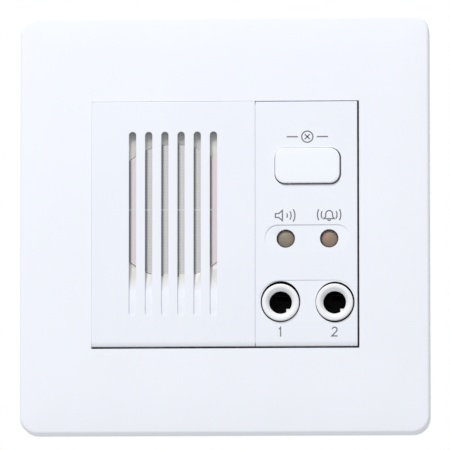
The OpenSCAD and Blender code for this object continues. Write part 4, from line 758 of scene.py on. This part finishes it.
def slot_shadow_wires():
    """Painted shadow: dark wires on the cloth, one along the left edge of each slot where that edge's shadow
    falls, and cut where the rib crosses.
    """
    low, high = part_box("speaker_cloth")
    x, z = middle("speaker_cloth")
    radius = (high.x - low.x) / 2
    bm = bmesh.new()
    for i, wire in enumerate(SHADOW_WIRES):
        across = (i - (len(SHADOW_WIRES) - 1) / 2) * SLOT_PITCH - SLOT_HALF - SLOTS_LEFT + wire
        reach = math.sqrt(radius ** 2 - across ** 2) - SHADOW_WIRE_SHORT
        rib = RIB_UP - RIB_DOWN
        for first, last in ((-reach, rib - RIB_HALF), (rib + RIB_HALF, reach)):
            points = [Vector((x + across, low.y - wire * SHADOW_WIRE_LIFT,
                              z + first + (last - first) * k / (SHADOW_WIRE_POINTS - 1)))
                      for k in range(SHADOW_WIRE_POINTS)]
            tube_along(bm, points, wire, SHADOW_WIRE_SIDES)
    return piece("slot_shadow_wires", bm, [], [SHADOW_PAINT], slot="basket_steel")


# ---------------------------------------------------------------- cancel button

BUTTON_CORNER = mm(2.8)
BUTTON_FILLET = mm(0.3)
BUTTON_FLANGE = mm(1.3)
BUTTON_FLANGE_BACK = mm(1)
BUTTON_WALL = mm(1.5)
BUTTON_RIM = mm(1)
BUTTON_LEAST_CORNER = mm(0.3)
BUTTON_CROWN = mm(0.05)
STEM_RADIUS = mm(2)
STEM_STEP = mm(0.2)


def cancel_button():
    """The button's cap: a crowned face, a flange behind the panel and a stem on the plunger."""
    low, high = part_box("cancel_button")
    axis = middle("cancel_button")
    width, height = high.x - low.x - 2 * BUTTON_FLANGE, high.z - low.z - 2 * BUTTON_FLANGE
    flange_front = high.y - BUTTON_FLANGE_BACK
    inner = low.y + BUTTON_WALL

    def loop(inset, y):
        radius = max(BUTTON_CORNER - inset, BUTTON_LEAST_CORNER)
        return rounded_loop(axis, width - 2 * inset, height - 2 * inset, radius, y)

    loops = [loop(BUTTON_WALL + BUTTON_RIM, inner), loop(BUTTON_WALL, inner), loop(BUTTON_WALL, high.y),
             loop(-BUTTON_FLANGE, high.y), loop(-BUTTON_FLANGE, flange_front), loop(0, flange_front)]
    for inset, y in fillet(BUTTON_FILLET, low.y + BUTTON_FILLET + BUTTON_CROWN, BUTTON_FILLET, 180, 270, 6):
        loops.append(loop(inset, y))
    for share in (0.3, 0.6, 0.9):
        inset = BUTTON_FILLET + share * (height / 2 - BUTTON_FILLET)
        loops.append(loop(inset, low.y + BUTTON_CROWN * (1 - share) ** 2))
    bm = bmesh.new()
    loft(bm, loops)
    plunger_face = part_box("switch_plunger")[0].y
    lathe(bm, axis, [(STEM_RADIUS, inner - STEM_STEP), (STEM_RADIUS, plunger_face - STEM_STEP),
                     (STEM_RADIUS - STEM_STEP, plunger_face)], closed=False, steps=48)
    return piece("button_cap", bm, ["cancel_button"], body="button")


# ---------------------------------------------------------------- lamps

LAMP_BALL = mm(4)
LAMP_FLANGE = mm(0.4)
LAMP_FLANGE_BACK = mm(1)
LAMP_TIP = mm(0.05)
DOME_STEPS = 8


def lamp(name):
    """A lamp's clouded body: a domed end and a flange behind the panel."""
    low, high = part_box(name)
    radius = (high.x - low.x) / 2 - LAMP_FLANGE
    top = math.asin(radius / LAMP_BALL)
    angles = [top * i / DOME_STEPS for i in range(1, DOME_STEPS + 1)]
    profile = [(LAMP_BALL * math.sin(a), low.y + LAMP_BALL * (1 - math.cos(a))) for a in angles]
    profile[0] = (LAMP_TIP, low.y)
    flange = high.y - LAMP_FLANGE_BACK
    profile += [(radius, flange), (radius + LAMP_FLANGE, flange), (radius + LAMP_FLANGE, high.y)]
    bm = bmesh.new()
    lathe(bm, middle(name), profile, closed=False, steps=64)
    return piece(f"{name}_lens", bm, [name])


# ---------------------------------------------------------------- sockets

NOSE_EDGE = mm(0.4)
NOSE_RADIUS = mm(5.28)
NOSE_DOWN = mm(0.17)
NOSE_SKIRT = mm(4.7)
LEAD_RADIUS = mm(4.2)
LEAD_DEPTH = mm(0.9)
LEAD_EDGE = mm(0.25)
BORE_RADIUS = mm(3.25)
BORE_EDGE = mm(0.06)
LAND_LENGTH = mm(1.6)
SKIRT_LENGTH = mm(0.5)


def socket(side):
    """The white nose that shows in the panel, and the black body behind it."""
    name = f"{side}_jack_body"
    low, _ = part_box(name)
    x, z = middle(name)
    face = low.y
    land_back = face + LEAD_DEPTH + LAND_LENGTH
    skirt_back = land_back + SKIRT_LENGTH
    profile = [(NOSE_SKIRT, skirt_back), (NOSE_SKIRT, land_back), (BORE_RADIUS, land_back),
               (BORE_RADIUS, face + LEAD_DEPTH + mm(0.1)),
               (BORE_RADIUS + BORE_EDGE, face + LEAD_DEPTH - BORE_EDGE),
               (LEAD_RADIUS - LEAD_EDGE * 0.6, face + LEAD_EDGE * 0.55),
               (LEAD_RADIUS - LEAD_EDGE * 0.1, face + LEAD_EDGE * 0.12),
               (LEAD_RADIUS + LEAD_EDGE * 0.5, face)]
    profile += fillet(NOSE_RADIUS - NOSE_EDGE, face + NOSE_EDGE, NOSE_EDGE, -90, 0, 6)
    profile.append((NOSE_RADIUS, skirt_back))
    ring = bmesh.new()
    lathe(ring, (x, z - NOSE_DOWN), profile)
    piece(f"{side}_socket_nose", ring, [name])

    rear = cad_copy(name)
    cut = bmesh.ops.bisect_plane(rear, geom=rear.verts[:] + rear.edges[:] + rear.faces[:],
                                 plane_co=(0, skirt_back, 0), plane_no=(0, -1, 0), clear_outer=True)
    rim = [g for g in cut["geom_cut"] if isinstance(g, bmesh.types.BMEdge)]
    bmesh.ops.triangle_fill(rear, edges=rim, use_beauty=True)
    piece(f"{side}_socket_body", rear, [name], [LINER_BLACK])


LUG_ANGLE = math.radians(-47)
LUG_TIP = mm(2.35)
LUG_ROOT = mm(3.4)
LUG_HALF = mm(1.05)
LUG_LENGTH = mm(1.4)
LUG_START = mm(0.1)
LUG_ROUND = mm(0.05)


def contact_lug(side):
    """The bright square end of the sleeve spring, just behind the nose's bore."""
    name = f"{side}_jack_sleeve_spring"
    x, z = middle(f"{side}_jack_body")
    out = Vector((math.cos(LUG_ANGLE), 0, math.sin(LUG_ANGLE)))
    across = Vector((-out.z, 0, out.x))
    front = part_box(f"{side}_jack_body")[0].y + LEAD_DEPTH + LAND_LENGTH + LUG_START
    z -= NOSE_DOWN
    corners = (out * LUG_TIP, out * LUG_ROOT + across * LUG_HALF, out * LUG_ROOT - across * LUG_HALF)
    bm = bmesh.new()
    loft(bm, [[Vector((x, y, z)) + corner for corner in corners] for y in (front, front + LUG_LENGTH)])
    soften(bm, LUG_ROUND)
    return piece(f"{side}_sleeve_contact_lug", bm, [], [LUG_SILVER],
                 body=f"{side}_sleeve_contact", slot=SLOT_OF[name])


# ---------------------------------------------------------------- printed symbols

INK_WIDTH = mm(0.36)
INK_LIFT = mm(0.012)
LEAST_BEND = 0.4
CANCEL_SIZE = mm(1.6)
LAMP_SIGN_SIZE = mm(1.55)
NUMERAL_SIZE = mm(1.35)
SOUND_LINES = (0.75, 1.45, 2.15)
RINGING_LINES = (1.45, 2.15)
CANCEL_SIGN_UP = mm(8.3)
LAMP_SIGN_UP = mm(6.6)
NUMERAL_DOWN = mm(8.6)


def stroke(bm, points, closed=False):
    """A printed line of even width through points in the plane of the face."""
    count = len(points)
    sides = []
    for i, (x, z) in enumerate(points):
        before = points[(i - 1) % count] if closed or i else None
        after = points[(i + 1) % count] if closed or i < count - 1 else None
        ways = []
        if before:
            ways.append(Vector((x - before[0], z - before[1])).normalized())
        if after:
            ways.append(Vector((after[0] - x, after[1] - z)).normalized())
        way = sum(ways, Vector((0, 0))).normalized()
        spread = INK_WIDTH / 2 / max(way.dot(ways[0]), LEAST_BEND)
        aside = spread * Vector((-way.y, way.x))
        sides.append((Vector((x, z)) + aside, Vector((x, z)) - aside))
    loops = []
    for left, right in sides:
        loops.append([Vector((p.x, y, p.y)) for p, y in (
            (left, PANEL_FACE - INK_LIFT), (right, PANEL_FACE - INK_LIFT),
            (right, PANEL_FACE + INK_LIFT), (left, PANEL_FACE + INK_LIFT))])
    loft(bm, loops, not closed, not closed, closed=closed)


def arc(centre, radius, first, last, steps=16):
    """Points of an arc in the plane of the face, from one angle to another."""
    x, z = centre
    angles = [math.radians(first + (last - first) * i / steps) for i in range(steps + 1)]
    return [(x + radius * math.cos(a), z + radius * math.sin(a)) for a in angles]


def placed(points, centre, size):
    """Points given in shares of a symbol's size, put on the panel."""
    return [(centre[0] + size * x, centre[1] + size * z) for x, z in points]


def above(node_name, distance):
    """A place on the panel above a node's middle, or below it where the distance is negative."""
    x, z = middle(node_name)
    return x, z + distance


def ink(name, bm):
    return piece(name, bm, [], [PRINT_INK], slot="panel_plastic")


def symbol_cancel(centre):
    """A ring with a cross in it, between two short bars."""
    size = CANCEL_SIZE
    bm = bmesh.new()
    stroke(bm, arc(centre, size, 0, 360, 40)[:-1], closed=True)
    for turn in (-1, 1):
        stroke(bm, placed([(-0.45, -0.45 * turn), (0.45, 0.45 * turn)], centre, size))
        stroke(bm, placed([(turn * 1.7, 0), (turn * 3.7, 0)], centre, size))
    return ink("print_cancel_symbol", bm)


def symbol_talk(centre):
    """A loudspeaker with three sound lines."""
    size = LAMP_SIGN_SIZE
    bm = bmesh.new()
    horn = [(-1.9, -0.35), (-1.3, -0.35), (-0.6, -0.95), (-0.6, 0.95), (-1.3, 0.35), (-1.9, 0.35)]
    stroke(bm, placed(horn, centre, size), closed=True)
    for radius in SOUND_LINES:
        stroke(bm, arc((centre[0] - size * 0.45, centre[1]), size * radius, -32, 32))
    return ink("print_talk_symbol", bm)


def symbol_call(centre):
    """A bell with a ringing line on each side."""
    size = LAMP_SIGN_SIZE
    bm = bmesh.new()
    dome = arc((0, 0.25), 0.62, 0, 180, 14)
    skirt = [(-0.66, -0.3), (-1.0, -0.62), (1.0, -0.62), (0.66, -0.3)]
    stroke(bm, placed(dome + skirt, centre, size), closed=True)
    stroke(bm, arc((centre[0], centre[1] - size * 0.66), size * 0.3, 200, 340, 8))
    for start in (-28, 152):
        for radius in RINGING_LINES:
            stroke(bm, arc((centre[0], centre[1] + size * 0.1), size * radius, start, start + 56))
    return ink("print_call_symbol", bm)


def numeral_one(bm, centre, size):
    stroke(bm, placed([(-0.3, 0.55), (0.02, 0.95), (0.02, -1.0)], centre, size))


def numeral_two(bm, centre, size):
    bowl = arc((0, 0.42), 0.52, 165, -35, 12)
    stroke(bm, placed(bowl + [(-0.56, -0.92), (0.62, -0.92)], centre, size))


def symbol_numbers(places):
    """A numeral under each socket."""
    bm = bmesh.new()
    for draw, centre in zip((numeral_one, numeral_two), places):
        draw(bm, centre, NUMERAL_SIZE)
    return ink("print_socket_numbers", bm)


# ---------------------------------------------------------------- return spring

SPRING_TURNS = 5
SPRING_TURN_STEPS = 24
SPRING_WIRE = mm(0.22)
SPRING_SIDES = 10


def button_spring():
    """The helical spring under the button, which the button presses together."""
    low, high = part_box("button_spring")
    x, z = middle("cancel_button")
    radius = (high.x - low.x) / 2 - SPRING_WIRE
    first, last = low.y + SPRING_WIRE, high.y - SPRING_WIRE
    steps = SPRING_TURNS * SPRING_TURN_STEPS
    points = []
    for i in range(steps + 1):
        a = 2 * math.pi * SPRING_TURNS * i / steps
        points.append(Vector((x + radius * math.cos(a), first + (last - first) * i / steps,
                              z + radius * math.sin(a))))
    bm = bmesh.new()
    tube_along(bm, points, SPRING_WIRE, SPRING_SIDES)
    made = piece("return_spring", bm, ["button_spring"])
    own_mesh(made)


# ---------------------------------------------------------------- floor, light, camera

PIXELS = 450
PIXELS_PER_MM = 3.505
SENSOR = 36.0
AIM = Vector((mm(0.16), mm(-8.8), mm(-0.31)))
VIEW_RIGHT = 3.0
VIEW_BELOW = 6.0
VIEW_DISTANCE = 2.0
CLIP_END = 100
KEY_WAY = (-21.0, 52.0)
KEY_DISTANCE = 1.2
KEY_SIZE = 0.22
KEY_POWER = 9.9
FILL = 0.545
FLOOR_Z = -0.42
FLOOR_HALF = 6.0
FLOOR_SQUARES = 24


def direction(right, up):
    """From the object towards a place right of and above its face, in degrees."""
    a, b = math.radians(right), math.radians(up)
    return Vector((math.sin(a) * math.cos(b), -math.cos(a) * math.cos(b), math.sin(b)))


def look_at(made, target):
    made.rotation_euler = (target - made.location).to_track_quat("-Z", "Y").to_euler()


def camera():
    """The camera at the photo's angle, framed so that the photo's scale holds at the face."""
    data = bpy.data.cameras.new("camera")
    view_width = mm(PIXELS / PIXELS_PER_MM)
    data.sensor_width = SENSOR
    data.lens = SENSOR * VIEW_DISTANCE / view_width
    data.clip_end = CLIP_END
    made = bpy.data.objects.new("camera", data)
    made.location = AIM + VIEW_DISTANCE * direction(VIEW_RIGHT, -VIEW_BELOW)
    look_at(made, AIM)
    bpy.context.scene.collection.objects.link(made)
    bpy.context.scene.camera = made


def key_light():
    """One square softbox from the upper left."""
    data = bpy.data.lights.new("key", "AREA")
    data.shape = "SQUARE"
    data.size = KEY_SIZE
    data.energy = KEY_POWER
    made = bpy.data.objects.new("key", data)
    made.location = AIM + KEY_DISTANCE * direction(*KEY_WAY)
    look_at(made, AIM)
    bpy.context.scene.collection.objects.link(made)


def world():
    """Even soft light for matt surfaces. Cameras and gloss see plain white."""
    made = bpy.data.worlds.new("studio")
    made.use_nodes = True
    tree = made.node_tree
    tree.nodes.clear()
    light = node(tree, "ShaderNodeBackground", {"Color": (1, 1, 1, 1), "Strength": FILL})
    seen = node(tree, "ShaderNodeBackground", {"Color": (1, 1, 1, 1), "Strength": 1.0})
    path = node(tree, "ShaderNodeLightPath").outputs
    glossy = node(tree, "ShaderNodeMath", {0: path["Is Camera Ray"], 1: path["Is Glossy Ray"]},
                  operation="MAXIMUM").outputs[0]
    shown = node(tree, "ShaderNodeMath", {0: glossy, 1: path["Is Transmission Ray"]},
                 operation="MAXIMUM").outputs[0]
    mix = node(tree, "ShaderNodeMixShader", {0: shown, 1: light.outputs[0], 2: seen.outputs[0]})
    out = node(tree, "ShaderNodeOutputWorld")
    tree.links.new(mix.outputs[0], out.inputs["Surface"])
    bpy.context.scene.world = made


def floor():
    bm = bmesh.new()
    bmesh.ops.create_grid(bm, x_segments=FLOOR_SQUARES, y_segments=FLOOR_SQUARES, size=FLOOR_HALF)
    mesh = bpy.data.meshes.new("floor")
    bm.to_mesh(mesh)
    bm.free()
    mesh.materials.append(moulding("floor_paint", (0.86, 0.86, 0.87), 0.8, 0.05, 0.99))
    made = bpy.data.objects.new("floor", mesh)
    made.location = (0, 0, FLOOR_Z)
    bpy.context.scene.collection.objects.link(made)


# ---------------------------------------------------------------- the whole station

HOUSING_ROUND = mm(0.2)

for cad_node in frame["nodes"]:
    dress_node(cad_node)

face_plate()
speaker_panel()
control_panel()
speaker_cloth()
slot_shadow_wires()
cancel_button()
lamp("talk_lamp")
lamp("call_lamp")
for socket_side in ("left", "right"):
    socket(socket_side)
    contact_lug(socket_side)
button_spring()

symbol_cancel(above("cancel_button", CANCEL_SIGN_UP))
symbol_talk(above("talk_lamp", LAMP_SIGN_UP))
symbol_call(above("call_lamp", LAMP_SIGN_UP))
symbol_numbers([above(f"{side}_jack_body", -NUMERAL_DOWN) for side in ("left", "right")])

for housing in ("rear_cover", "unit_case", "mounting_frame", "plate_frame"):
    softened(housing, HOUSING_ROUND)

camera()
world()
floor()
key_light()

bpy.context.scene.view_settings.view_transform = "Standard"
